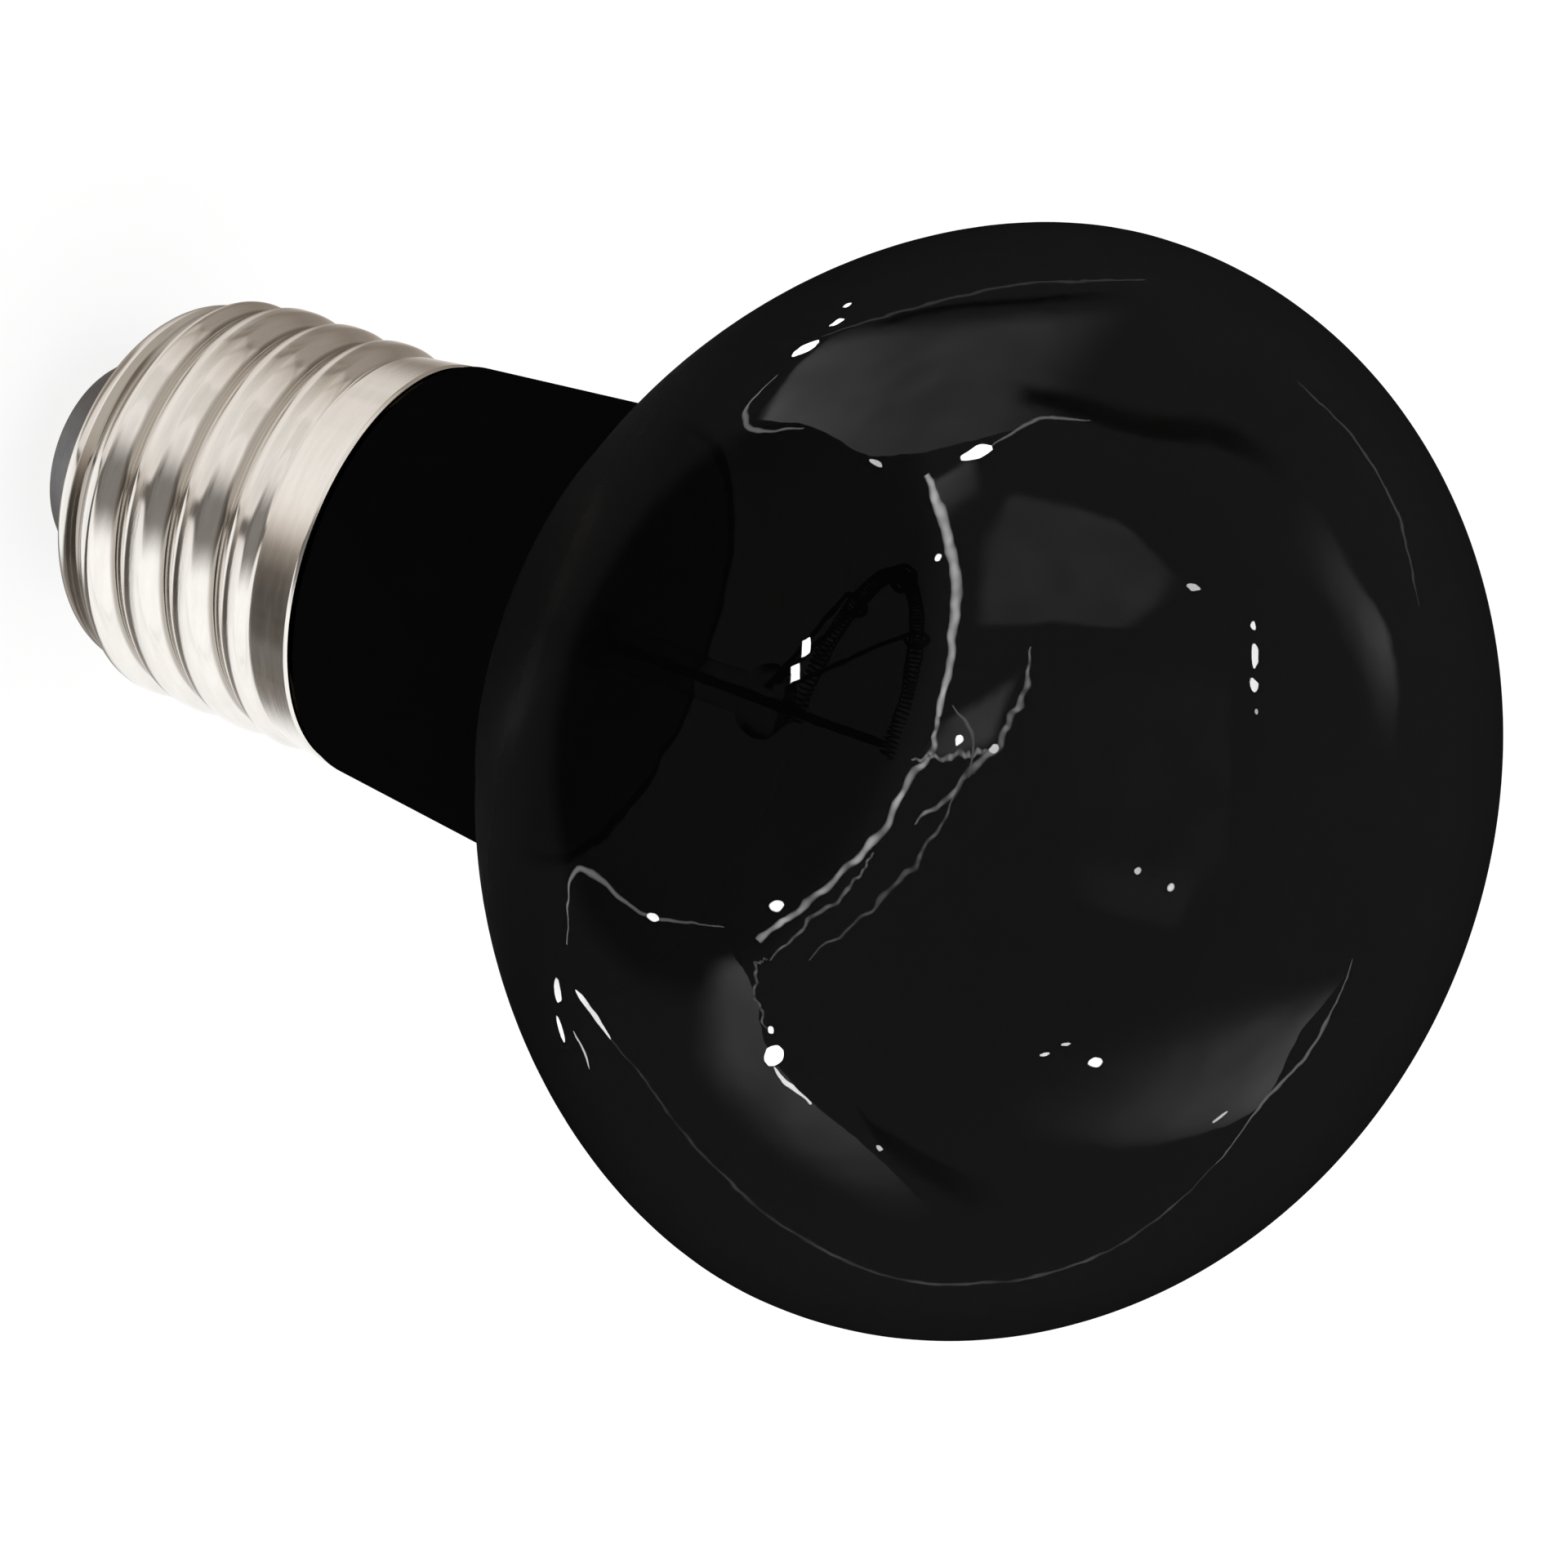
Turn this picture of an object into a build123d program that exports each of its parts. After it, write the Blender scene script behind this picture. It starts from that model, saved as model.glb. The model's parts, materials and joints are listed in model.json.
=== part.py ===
"""Screw-cap reflector heat lamp of dark glass, in millimetres.

The lamp's axis is Z, the origin is on it in the plane of the cap's rim, and +Z runs to the domed front.
"""
import os
from math import asin, atan2, cos, radians, sin, sqrt, tan

from build123d import *

# Glass envelope
HEAD_DIAMETER = 63.2
FRONT_DEPTH = 27.7
BOWL_DEPTH = 25.05
BOWL_ANGLE = 62.4
BOWL_FULLNESS = 0.79
NECK_LENGTH = 13.95
NECK_FLARE = 1.2
NECK_OVERHANG = 0.45
GLASS_WALL = 0.9
CORNER_BLEND = 1.5
SHOULDER_BLEND = 0.8
RIM_GAP = 0.1
TAIL_LENGTH = 8.5

# Screw cap, with a round thread rolled in thin sheet
THREAD_CREST_DIAMETER = 26.3
THREAD_DEPTH = 0.9
THREAD_PITCH = 25.4 / 7
THREAD_TURNS = 3.5
THREAD_START_ANGLE = 137.0
THREAD_SECTIONS = 6
SHEET = 0.3
SKIRT_STEP = 0.55
SKIRT_HEIGHT = 3.0
RUNOUT = 0.9
SHELL_END_STEP = 0.15
SHELL_END_HEIGHT = 1.4
SHELL_CURL = 1.3
SHELL_LIP = 2.1

# Insulator, contact, solder and cement
INSULATOR_FLANGE = 1.0
INSULATOR_HEIGHT = 4.5
INSULATOR_MARGIN = 1.3
WIRE_HOLE_DIAMETER = 2.4
CONTACT_DIAMETER = 10.4
CONTACT_THICKNESS = 0.6
CONTACT_EDGE = 0.25
SOLDER_MARGIN = 1.3
SOLDER_HEIGHT = 0.8
BEAD_DIAMETER = 3.2
BEAD_RISE = 0.6
BEAD_DROP = 0.85
NOTCH_SLACK = 0.3
CEMENT_STOP = 2.0
CEMENT_GAP = 0.05

# Stem, melted together from flare, press, exhaust tube and rod
STEM_DIAMETER = 9.6
STEM_WALL = 0.8
STEM_RISE = 3.0
PRESS_TAPER = 5.0
PRESS_LENGTH = 4.0
PRESS_MARGIN = 2.4
PRESS_THICKNESS = 3.8
PRESS_EDGE = 0.8
EXHAUST_DIAMETER = 4.2
EXHAUST_BORE = 2.6
EXHAUST_TIP_ROOM = 4.4
EXHAUST_TIP_WALL = 2.1
EXHAUST_TIP_BLEND = 1.3
EXHAUST_HOLE_RISE = 1.8
ROD_DIAMETER = 2.6
ROD_LENGTH = 12.5
BUTTON_DIAMETER = 4.6
BUTTON_LENGTH = 3.2

# Lead wires, filament and its supports
LEAD_DIAMETER = 0.6
LEAD_SLACK = 0.15
LEAD_BEND = 1.5
LEAD_KNEE = 3.0
RIM_BEND = 0.6
FLARE_CLEARANCE = 2.0
TIP_CLEARANCE = 1.5
FILAMENT_RISE = 5.5
FILAMENT_RADIUS = 9.5
FILAMENT_OVERHANG = 4.0
COIL_DIAMETER = 1.0
SUPPORT_DIAMETER = 0.3
SUPPORT_ROOT = 1.0
SUPPORT_SLACK = 0.05
SUPPORT_CURL_ANGLE = 300.0
SUPPORT_ANGLES = (45.0, 90.0, 135.0)

# Angle that turns the lead wires and all that they carry about the axis
MOUNT_ANGLE = 90.0

# Radii and heights of the cap, worked out from the sizes above
root_radius = THREAD_CREST_DIAMETER / 2 - THREAD_DEPTH
thread_bore = root_radius - SHEET
skirt_radius = root_radius + SKIRT_STEP
skirt_bore = skirt_radius - SHEET
end_radius = root_radius - SHELL_END_STEP
mouth_radius = end_radius - SHELL_LIP
wire_hole = WIRE_HOLE_DIAMETER / 2
thread_top = -SKIRT_HEIGHT - RUNOUT
thread_bottom = thread_top - THREAD_TURNS * THREAD_PITCH
end_top = thread_bottom - RUNOUT
shell_bottom = end_top - SHELL_END_HEIGHT
shell_floor = shell_bottom + SHEET
flange_top = shell_floor + INSULATOR_FLANGE
contact_top = shell_bottom - INSULATOR_HEIGHT
contact_bottom = contact_top - CONTACT_THICKNESS
bead_height = -BEAD_DROP
notch_depth = BEAD_DROP + (LEAD_DIAMETER + NOTCH_SLACK) / 2

# Radii and heights of the glass
tail_radius = thread_bore - LEAD_DIAMETER - LEAD_SLACK
tail_bore = tail_radius - GLASS_WALL
neck_radius = skirt_radius + NECK_OVERHANG
corner_height = RIM_GAP + NECK_LENGTH
equator_height = corner_height + BOWL_DEPTH
stem_radius = STEM_DIAMETER / 2
stem_bore = stem_radius - STEM_WALL
flare_bottom = -TAIL_LENGTH - STEM_WALL
exhaust_tip = flange_top + EXHAUST_TIP_ROOM
press_top = STEM_RISE + PRESS_TAPER + PRESS_LENGTH
button_height = press_top + ROD_LENGTH
filament_height = button_height + FILAMENT_RISE
lead_spread = (EXHAUST_DIAMETER / 2 + stem_bore) / 2


def turned(outline):
    """The solid that a closed outline of (radius, height) curves makes round the lamp's axis."""
    return revolve(Plane.XZ * make_face(outline), Axis.Z)


def turned_between(low, high, radius, bore=0.0):
    """A plain round body between two heights, with an optional bore."""
    body = Pos(0, 0, low) * extrude(Circle(radius), high - low)
    return body - Pos(0, 0, low) * extrude(Circle(bore), high - low) if bore else body


def quarter_ellipse(start, corner, end):
    """A quarter of an ellipse, tangent at both ends to the lines that meet in the corner."""
    return Bezier(start, corner, end, weights=[1, sqrt(0.5), 1])


def circles_at(body, radius, height, tolerance=1e-3):
    """The round edges of a turned body at one radius and height."""
    rings = [e for e in body.edges().filter_by(GeomType.CIRCLE) if abs(e.radius - radius) < tolerance]
    return [e for e in rings if abs(e.arc_center.Z - height) < tolerance]


def wire_along(points, bends, diameter):
    """A round wire through points in the XZ plane, with one bend radius for each inner point."""
    path = FilletPolyline(*[(x, 0, z) for x, z in points], radius=bends)
    return sweep(Plane(path @ 0, z_dir=path % 0) * Circle(diameter / 2), path)


def glass_outline(inset):
    """Neck, bowl and front of the glass surface that lies inset within the outer one."""
    foot = Vector(neck_radius, RIM_GAP)
    corner = Vector(neck_radius + NECK_FLARE, corner_height)
    along_neck = (corner - foot).normalized()
    along_bowl = Vector(sin(radians(BOWL_ANGLE)), cos(radians(BOWL_ANGLE)))
    neck_inward = Vector(-along_neck.Y, along_neck.X)
    bowl_inward = Vector(-along_bowl.Y, along_bowl.X)
    mitre = (neck_inward + bowl_inward) * (inset / (1 + neck_inward.dot(bowl_inward)))
    corner += mitre
    radius = HEAD_DIAMETER / 2 - inset
    front_height = equator_height + FRONT_DEPTH - inset
    foot_height = RIM_GAP + inset
    foot = Vector(corner.X - (corner.Y - foot_height) * along_neck.X / along_neck.Y, foot_height)
    shoulder = Vector(radius, corner.Y + (radius - corner.X) / tan(radians(BOWL_ANGLE)))
    equator = Vector(radius, equator_height)
    neck = Line(foot, corner)
    bowl = Bezier(corner, shoulder, equator, weights=[1, BOWL_FULLNESS, 1])
    front = quarter_ellipse(equator, (radius, front_height), (0, front_height))
    return neck, bowl, front


def glass_body(inset, foot_radius):
    """All that one glass surface encloses, down to the foot of a tail of the given radius."""
    neck, bowl, front = glass_outline(inset)
    foot, corner = neck @ 0, neck @ 1
    tail = Polyline(front @ 1, (0, -TAIL_LENGTH), (foot_radius, -TAIL_LENGTH), (foot_radius, foot.Y), foot)
    body = turned([neck, bowl, front, tail])
    body = fillet(circles_at(body, corner.X, corner.Y), CORNER_BLEND + inset)
    return fillet(circles_at(body, foot.X, foot.Y), SHOULDER_BLEND)


def glass_bulb():
    """The blown envelope: dome, bowl and neck of one wall, and the tail that goes into the cap."""
    return glass_body(0, tail_radius) - glass_body(GLASS_WALL, tail_bore)


def threaded_sections():
    """The shell's round sections from its end to the skirt, off the axis where they make the thread."""
    throw = THREAD_DEPTH / 2
    radius = root_radius + throw
    sections = [Pos(0, 0, end_top) * Circle(end_radius)]
    for step in range(round(THREAD_TURNS * THREAD_SECTIONS) + 1):
        turn = step / THREAD_SECTIONS
        lean = radians(THREAD_START_ANGLE + 360 * turn)
        height = thread_bottom + THREAD_PITCH * turn
        sections.append(Pos(throw * cos(lean), throw * sin(lean), height) * Circle(radius))
    return [*sections, Pos(0, 0, -SKIRT_HEIGHT) * Circle(skirt_radius)]


def curled_end(low, high, radius, curl):
    """A round body whose lower edge is curled in."""
    end = turned_between(low, high, radius)
    return fillet(circles_at(end, radius, low), curl)


def shell_form():
    """All that the outside of the shell encloses: skirt, round thread with its run-outs, and curled end."""
    skirt = turned_between(-SKIRT_HEIGHT, 0, skirt_radius)
    return skirt + loft(threaded_sections()) + curled_end(shell_bottom, end_top, end_radius, SHELL_CURL)


def shell_space():
    """The space in the shell: wide in the skirt, plain behind the thread, and open at the mouth."""
    skirt = turned_between(-SKIRT_HEIGHT, 0, skirt_bore)
    bore = turned_between(thread_bottom, -SKIRT_HEIGHT, thread_bore)
    end = curled_end(shell_floor, thread_bottom, end_radius - SHEET, SHELL_CURL - SHEET)
    mouth = turned_between(shell_bottom, shell_floor, mouth_radius)
    return skirt + bore + end + mouth


def rim_notch():
    """The block of space that the notch in the rim takes, through the sheet."""
    block = Box(4 * SHEET, LEAD_DIAMETER + NOTCH_SLACK, notch_depth)
    middle = Pos(skirt_radius, 0, -notch_depth / 2)
    return Rot(0, 0, MOUNT_ANGLE) * middle * block


def cap_shell():
    """The screw shell, with a mouth for the insulator and a notch in the rim for the side lead."""
    return shell_form() - shell_space() - rim_notch()


def cap_insulator():
    """The black glass plug, cast with a flange inside the shell and a cone outside it."""
    flange = end_radius - SHELL_CURL
    tip = CONTACT_DIAMETER / 2 + INSULATOR_MARGIN
    outline = Polyline(
        (wire_hole, flange_top),
        (flange, flange_top),
        (flange, shell_floor),
        (mouth_radius, shell_floor),
        (mouth_radius, shell_bottom),
        (tip, contact_top),
        (wire_hole, contact_top),
        close=True,
    )
    return turned(outline)


def cap_contact():
    """The contact plate with its wire hole."""
    radius = CONTACT_DIAMETER / 2
    plate = turned_between(contact_bottom, contact_top, radius, wire_hole)
    return fillet(circles_at(plate, radius, contact_bottom), CONTACT_EDGE)


def contact_solder(lead):
    """The solder that fills the contact's hole and domes below it."""
    radius = wire_hole + SOLDER_MARGIN
    sphere = (radius**2 + SOLDER_HEIGHT**2) / (2 * SOLDER_HEIGHT)
    drop = Pos(0, 0, contact_bottom - SOLDER_HEIGHT + sphere) * Sphere(sphere)
    dome = drop & turned_between(contact_bottom - SOLDER_HEIGHT, contact_bottom, radius)
    plug = turned_between(contact_bottom, contact_top, wire_hole)
    return dome + plug - lead


def side_solder(lead):
    """The solder bead that fills the notch, stands proud of the skirt and ends level with the rim."""
    ball = ((BEAD_DIAMETER / 2) ** 2 + BEAD_RISE**2) / (2 * BEAD_RISE)
    seat = Pos(skirt_radius + BEAD_RISE - ball, 0, bead_height)
    bead = Rot(0, 0, MOUNT_ANGLE) * seat * Sphere(ball)
    proud = bead & turned_between(-SKIRT_HEIGHT, 0, skirt_radius + 2 * BEAD_RISE, skirt_radius)
    filled = rim_notch() & turned_between(-notch_depth, 0, skirt_radius, skirt_bore)
    return proud + filled - lead


def capping_cement(lead):
    """The cement ring between the tail and the shell, stepped in where the thread begins."""
    upper = turned_between(-SKIRT_HEIGHT, bead_height - RIM_BEND, skirt_bore, tail_radius)
    lower = turned_between(CEMENT_STOP - TAIL_LENGTH, -SKIRT_HEIGHT, thread_bore - CEMENT_GAP, tail_radius)
    return upper + lower - lead


def flare_and_tube():
    """The flare that closes the bulb's tail, and the tube that rises from it."""
    sweep_radius = tail_bore - stem_radius
    bend_height = sweep_radius - TAIL_LENGTH
    rim = Polyline(
        (tail_bore, -TAIL_LENGTH),
        (tail_radius, -TAIL_LENGTH),
        (tail_radius, flare_bottom),
        (tail_bore, flare_bottom),
    )
    tube = Polyline(
        (stem_bore, bend_height),
        (stem_bore, STEM_RISE),
        (stem_radius, STEM_RISE),
        (stem_radius, bend_height),
    )
    under = RadiusArc(rim @ 1, tube @ 0, sweep_radius + STEM_WALL)
    over = RadiusArc(tube @ 1, rim @ 0, -sweep_radius)
    return turned([rim, under, tube, over])


def press():
    """The flattened end of the tube that the leads are sealed in."""
    foot = Pos(0, 0, STEM_RISE) * Circle(stem_radius)
    width = 2 * (lead_spread + PRESS_MARGIN)
    waist = Pos(0, 0, STEM_RISE + PRESS_TAPER) * SlotOverall(width, PRESS_THICKNESS)
    blade = extrude(waist, PRESS_LENGTH)
    blade = fillet(blade.edges().group_by(Axis.Z)[-1], PRESS_EDGE)
    return Rot(0, 0, MOUNT_ANGLE) * (loft([foot, waist]) + blade)


def button():
    """The flat glass bead on the end of the rod."""
    wide = BUTTON_DIAMETER / 2
    low = button_height - BUTTON_LENGTH / 2
    high = button_height + BUTTON_LENGTH / 2
    below = quarter_ellipse((0, low), (wide, low), (wide, button_height))
    above = quarter_ellipse((wide, button_height), (wide, high), (0, high))
    return turned([below, above, Line((0, high), (0, low))])


def exhaust_tube():
    """The sealed-off tube under the press."""
    radius = EXHAUST_DIAMETER / 2
    tube = turned_between(exhaust_tip, STEM_RISE, radius)
    return fillet(circles_at(tube, radius, exhaust_tip), EXHAUST_TIP_BLEND)


def exhaust_bore():
    """The tube's bore and the hole by which it opens beside the press."""
    hole_height = STEM_RISE + EXHAUST_HOLE_RISE
    bore = turned_between(exhaust_tip + EXHAUST_TIP_WALL, hole_height, EXHAUST_BORE / 2)
    hole = Pos(0, 0, hole_height) * Rot(0, 90, 0) * extrude(Circle(EXHAUST_BORE / 2), stem_radius)
    return bore + hole


def stem_glass(inserts):
    """Flare, tube, press, exhaust tube, rod and button, melted into one, with its wires sealed in."""
    rod = turned_between(press_top, button_height, ROD_DIAMETER / 2)
    return flare_and_tube() + press() + exhaust_tube() + rod + button() - exhaust_bore() - inserts


def filament_coil():
    """The coil's outer form: a round bar bent to a horseshoe, a little longer than a half turn."""
    span = 180 + 2 * FILAMENT_OVERHANG
    path = Pos(0, 0, filament_height) * CenterArc((0, 0), FILAMENT_RADIUS, -FILAMENT_OVERHANG, span)
    return sweep(Plane(path @ 0, z_dir=path % 0) * Circle(COIL_DIAMETER / 2), path)


def support_wire(angle):
    """A thin wire from the button, its end curled to an eye that the coil runs through."""
    root = Vector(SUPPORT_ROOT, button_height)
    reach = Vector(FILAMENT_RADIUS, filament_height) - root
    curl = (COIL_DIAMETER + SUPPORT_DIAMETER) / 2 + SUPPORT_SLACK
    slope = atan2(reach.Y, reach.X) - asin(curl / reach.length)
    way = Vector(cos(slope), sin(slope))
    arm = Line(root, root + way * sqrt(reach.length**2 - curl**2))
    path = Plane.XZ * (arm + JernArc(arm @ 1, way, curl, SUPPORT_CURL_ANGLE))
    wire = sweep(Plane(path @ 0, z_dir=path % 0) * Circle(SUPPORT_DIAMETER / 2), path)
    return Rot(0, 0, angle) * wire


def lead_wire_side(coil):
    """The lead from the coil through the press, under the flare and up to the notch in the rim."""
    climb = (tail_radius + thread_bore) / 2
    turn_height = flare_bottom - FLARE_CLEARANCE
    points = [
        (FILAMENT_RADIUS, filament_height),
        (lead_spread, press_top + LEAD_KNEE),
        (lead_spread, turn_height),
        (climb, turn_height),
        (climb, bead_height),
        (skirt_radius + BEAD_RISE / 2, bead_height),
    ]
    return wire_along(points, [LEAD_BEND, LEAD_BEND, LEAD_BEND, RIM_BEND], LEAD_DIAMETER) - coil


def lead_wire_centre(coil):
    """The lead from the coil through the press and past the exhaust tip to the contact's solder."""
    points = [
        (-FILAMENT_RADIUS, filament_height),
        (-lead_spread, press_top + LEAD_KNEE),
        (-lead_spread, exhaust_tip - TIP_CLEARANCE),
        (0, flange_top + LEAD_BEND),
        (0, contact_bottom),
    ]
    return wire_along(points, [LEAD_BEND, LEAD_BEND, LEAD_BEND], LEAD_DIAMETER) - coil


def lamp():
    """All pieces of the lamp by name."""
    turn = Rot(0, 0, MOUNT_ANGLE)
    coil = filament_coil()
    supports = [turn * support_wire(angle) for angle in SUPPORT_ANGLES]
    side_lead = turn * lead_wire_side(coil)
    centre_lead = turn * lead_wire_centre(coil)
    pieces = {
        "glass_bulb": glass_bulb(),
        "stem_glass": stem_glass([side_lead, centre_lead, *supports]),
        "lead_wire_side": side_lead,
        "lead_wire_centre": centre_lead,
        "filament_coil": turn * coil,
        "cap_shell": cap_shell(),
        "cap_insulator": cap_insulator(),
        "cap_contact": cap_contact(),
        "contact_solder": contact_solder(centre_lead),
        "side_solder": side_solder(side_lead),
        "capping_cement": capping_cement(side_lead),
    }
    for number, support in enumerate(supports, start=1):
        pieces[f"support_wire_{number}"] = support
    return pieces


os.makedirs("parts", exist_ok=True)
for name, piece in lamp().items():
    export_step(piece, f"parts/{name}.step")
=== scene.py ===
"""Looks of a screw-cap heat lamp of dark glass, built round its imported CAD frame.

Sizes are in millimetres and are turned to metres where a mesh is made. The lamp's axis is Z, the origin
is in the plane of the cap's rim, and +Z runs to the domed front.
"""

import json
import logging
import math
from dataclasses import dataclass, field
from enum import Enum
from typing import Iterable

import bpy
import numpy as np
from bpy.types import Collection, Material, Node, NodeSocket, NodeTree, Object
from mathutils import Matrix, Vector


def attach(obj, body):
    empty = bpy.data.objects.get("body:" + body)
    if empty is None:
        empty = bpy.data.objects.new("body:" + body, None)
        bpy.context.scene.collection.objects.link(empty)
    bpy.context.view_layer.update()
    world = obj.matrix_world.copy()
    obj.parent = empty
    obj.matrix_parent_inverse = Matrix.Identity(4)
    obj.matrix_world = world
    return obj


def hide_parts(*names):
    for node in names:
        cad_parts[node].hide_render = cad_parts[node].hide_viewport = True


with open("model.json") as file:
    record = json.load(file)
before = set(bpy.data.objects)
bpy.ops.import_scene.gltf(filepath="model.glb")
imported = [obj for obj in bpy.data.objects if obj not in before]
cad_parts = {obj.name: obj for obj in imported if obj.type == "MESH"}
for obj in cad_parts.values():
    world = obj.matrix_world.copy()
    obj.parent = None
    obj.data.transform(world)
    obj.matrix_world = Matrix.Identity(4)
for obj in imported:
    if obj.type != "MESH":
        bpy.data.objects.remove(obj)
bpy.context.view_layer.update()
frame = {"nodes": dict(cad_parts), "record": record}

LOG = logging.getLogger("heat_lamp")
MM = 0.001
TURN = 2 * math.pi
AXIS_GAP = 1e-6
SENSOR = 36.0
PHOTO_SIZE = 1920
FINER_SCALE = 6.5
FINE_SHARE = 0.35
MOTTLE_SPAN = (0.45, 0.9)


# Curves

def blend_curve(start: tuple, corner: tuple, end: tuple, weight: float, count: int) -> np.ndarray:
    """Points of a rational quadratic curve, tangent at its ends to the lines that meet in the corner.

    A point is the mean of start, corner and end, weighed by (1-t)^2, 2 w t (1-t) and t^2.

    Args:
        start: First point as (radius, height).
        corner: Point that the curve bends towards.
        end: Last point.
        weight: Pull of the corner; the root of a half gives a quarter of an ellipse.
        count: Number of points.

    Returns:
        Array of shape (count, 2).
    """
    t = np.linspace(0.0, 1.0, count)[:, None]
    shares = np.concatenate([(1 - t) ** 2, 2 * weight * t * (1 - t), t**2], axis=1)
    points = shares @ np.array([start, corner, end], float)
    return points / shares.sum(axis=1, keepdims=True)


def straight(start: tuple, end: tuple, count: int) -> np.ndarray:
    """Evenly spaced points of a straight run, both ends included."""
    return np.linspace(np.array(start, float), np.array(end, float), count)


def rounded(points: list, radii: Iterable, count: int = 8) -> np.ndarray:
    """A run of straight stretches whose inner corners are rounded.

    At each corner a circular arc of the given radius, written as a rational curve whose corner weight is
    the cosine of half the turn, touches both stretches.

    Args:
        points: Corners as (radius, height), the two ends included.
        radii: One radius for each inner corner.
        count: Points on each arc.

    Returns:
        Array of shape (n, 2).
    """
    ends = np.array(points, float)
    run = [ends[:1]]
    for before, corner, after, radius in zip(ends[:-2], ends[1:-1], ends[2:], radii):
        back = (before - corner) / np.linalg.norm(before - corner)
        ahead = (after - corner) / np.linalg.norm(after - corner)
        half_turn = (math.pi - math.acos(float(np.clip(back @ ahead, -1, 1)))) / 2
        reach = radius * math.tan(half_turn)
        start, end = corner + back * reach, corner + ahead * reach
        run.append(blend_curve(start, corner, end, math.cos(half_turn), count))
    run.append(ends[-1:])
    return np.concatenate(run)


def without_doubles(outline: np.ndarray, gap: float = 1e-4) -> np.ndarray:
    """The outline without points that fall on the one before."""
    step = np.linalg.norm(np.diff(outline, axis=0), axis=1)
    return outline[np.concatenate([[True], step > gap])]


def ease(share: np.ndarray, fade: float) -> np.ndarray:
    """Rises smoothly from 0 to 1 over the given fade, or is 1 where the fade is 0."""
    t = np.clip(share / fade, 0, 1) if fade else np.ones_like(share)
    return t**2 * (3 - 2 * t)


def waves(angle: np.ndarray, rows: tuple) -> list:
    """One sine wave of the angle for each row of height, count and lead."""
    return [height * np.sin(count * angle + lead) for height, count, lead in rows]


# Meshes

def closed_rings(rings: np.ndarray, first_pole: np.ndarray | None, last_pole: np.ndarray | None,
                 loop: bool) -> tuple[np.ndarray, list]:
    """Joins rings of points into one closed skin.

    Ring i and ring i+1 are joined by quads, a pole closes its end ring by a fan of triangles, and with
    loop the last ring is joined to the first.

    Args:
        rings: Array of shape (rings, segments, 3).
        first_pole: Point before the first ring, or None.
        last_pole: Point after the last ring, or None.
        loop: True where the last ring meets the first.

    Returns:
        Points of shape (n, 3) and the faces as lists of point numbers.
    """
    count, segments = rings.shape[:2]
    index = np.arange(count * segments).reshape(count, segments)
    low = index if loop else index[:-1]
    high = np.roll(index, -1, axis=0) if loop else index[1:]
    quads = np.stack([low, np.roll(low, -1, axis=1), np.roll(high, -1, axis=1), high], axis=-1)
    faces = quads.reshape(-1, 4).tolist()
    points = [rings.reshape(-1, 3)]
    for pole, ring, turned in ((first_pole, index[0], True), (last_pole, index[-1], False)):
        if pole is not None:
            tip = np.full(segments, sum(len(p) for p in points))
            pair = (np.roll(ring, -1), ring) if turned else (ring, np.roll(ring, -1))
            faces += np.stack([tip, *pair], axis=-1).tolist()
            points.append(np.asarray(pole, float)[None])
    return np.concatenate(points), faces


def turned_skin(outline: np.ndarray, segments: int, loop: bool = False) -> tuple[np.ndarray, list]:
    """The skin that an outline makes round the lamp's axis.

    A point (r, z) goes to (r cos a, r sin a, z) for each angle a. An end on the axis becomes a pole.

    Args:
        outline: Array of (radius, height) in millimetres.
        segments: Steps round the axis.
        loop: True where the outline closes on itself.

    Returns:
        Points and faces.
    """
    outline = without_doubles(outline)
    angle = np.linspace(0, TURN, segments, endpoint=False)
    poles = [None, None]
    if not loop:
        if outline[0, 0] < AXIS_GAP:
            poles[0], outline = np.array([0, 0, outline[0, 1]]), outline[1:]
        if outline[-1, 0] < AXIS_GAP:
            poles[1], outline = np.array([0, 0, outline[-1, 1]]), outline[:-1]
    radius, height = outline[:, :1], outline[:, 1:]
    rings = np.stack([radius * np.cos(angle), radius * np.sin(angle), height + 0 * angle], axis=-1)
    return closed_rings(rings, poles[0], poles[1], loop)


def tube_along(path: np.ndarray, radius: float, sides: int) -> tuple[np.ndarray, list]:
    """A round tube along a smooth path, closed by a pole at each end.

    At each path point a circle stands square to the path. Its two directions come from the path's
    tangent and the tangent's change, so they turn with the path.

    Args:
        path: Array of shape (n, 3).
        radius: Tube radius in millimetres.
        sides: Points round the tube.

    Returns:
        Points and faces.
    """
    tangent = np.gradient(path, axis=0)
    tangent /= np.linalg.norm(tangent, axis=1, keepdims=True)
    inward = np.gradient(tangent, axis=0)
    inward -= (inward * tangent).sum(axis=1, keepdims=True) * tangent
    inward /= np.linalg.norm(inward, axis=1, keepdims=True)
    across = np.cross(tangent, inward)
    angle = np.linspace(0, TURN, sides, endpoint=False)[None, :, None]
    rings = path[:, None] + radius * (np.cos(angle) * inward[:, None] + np.sin(angle) * across[:, None])
    return closed_rings(rings, path[0], path[-1], False)


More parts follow.
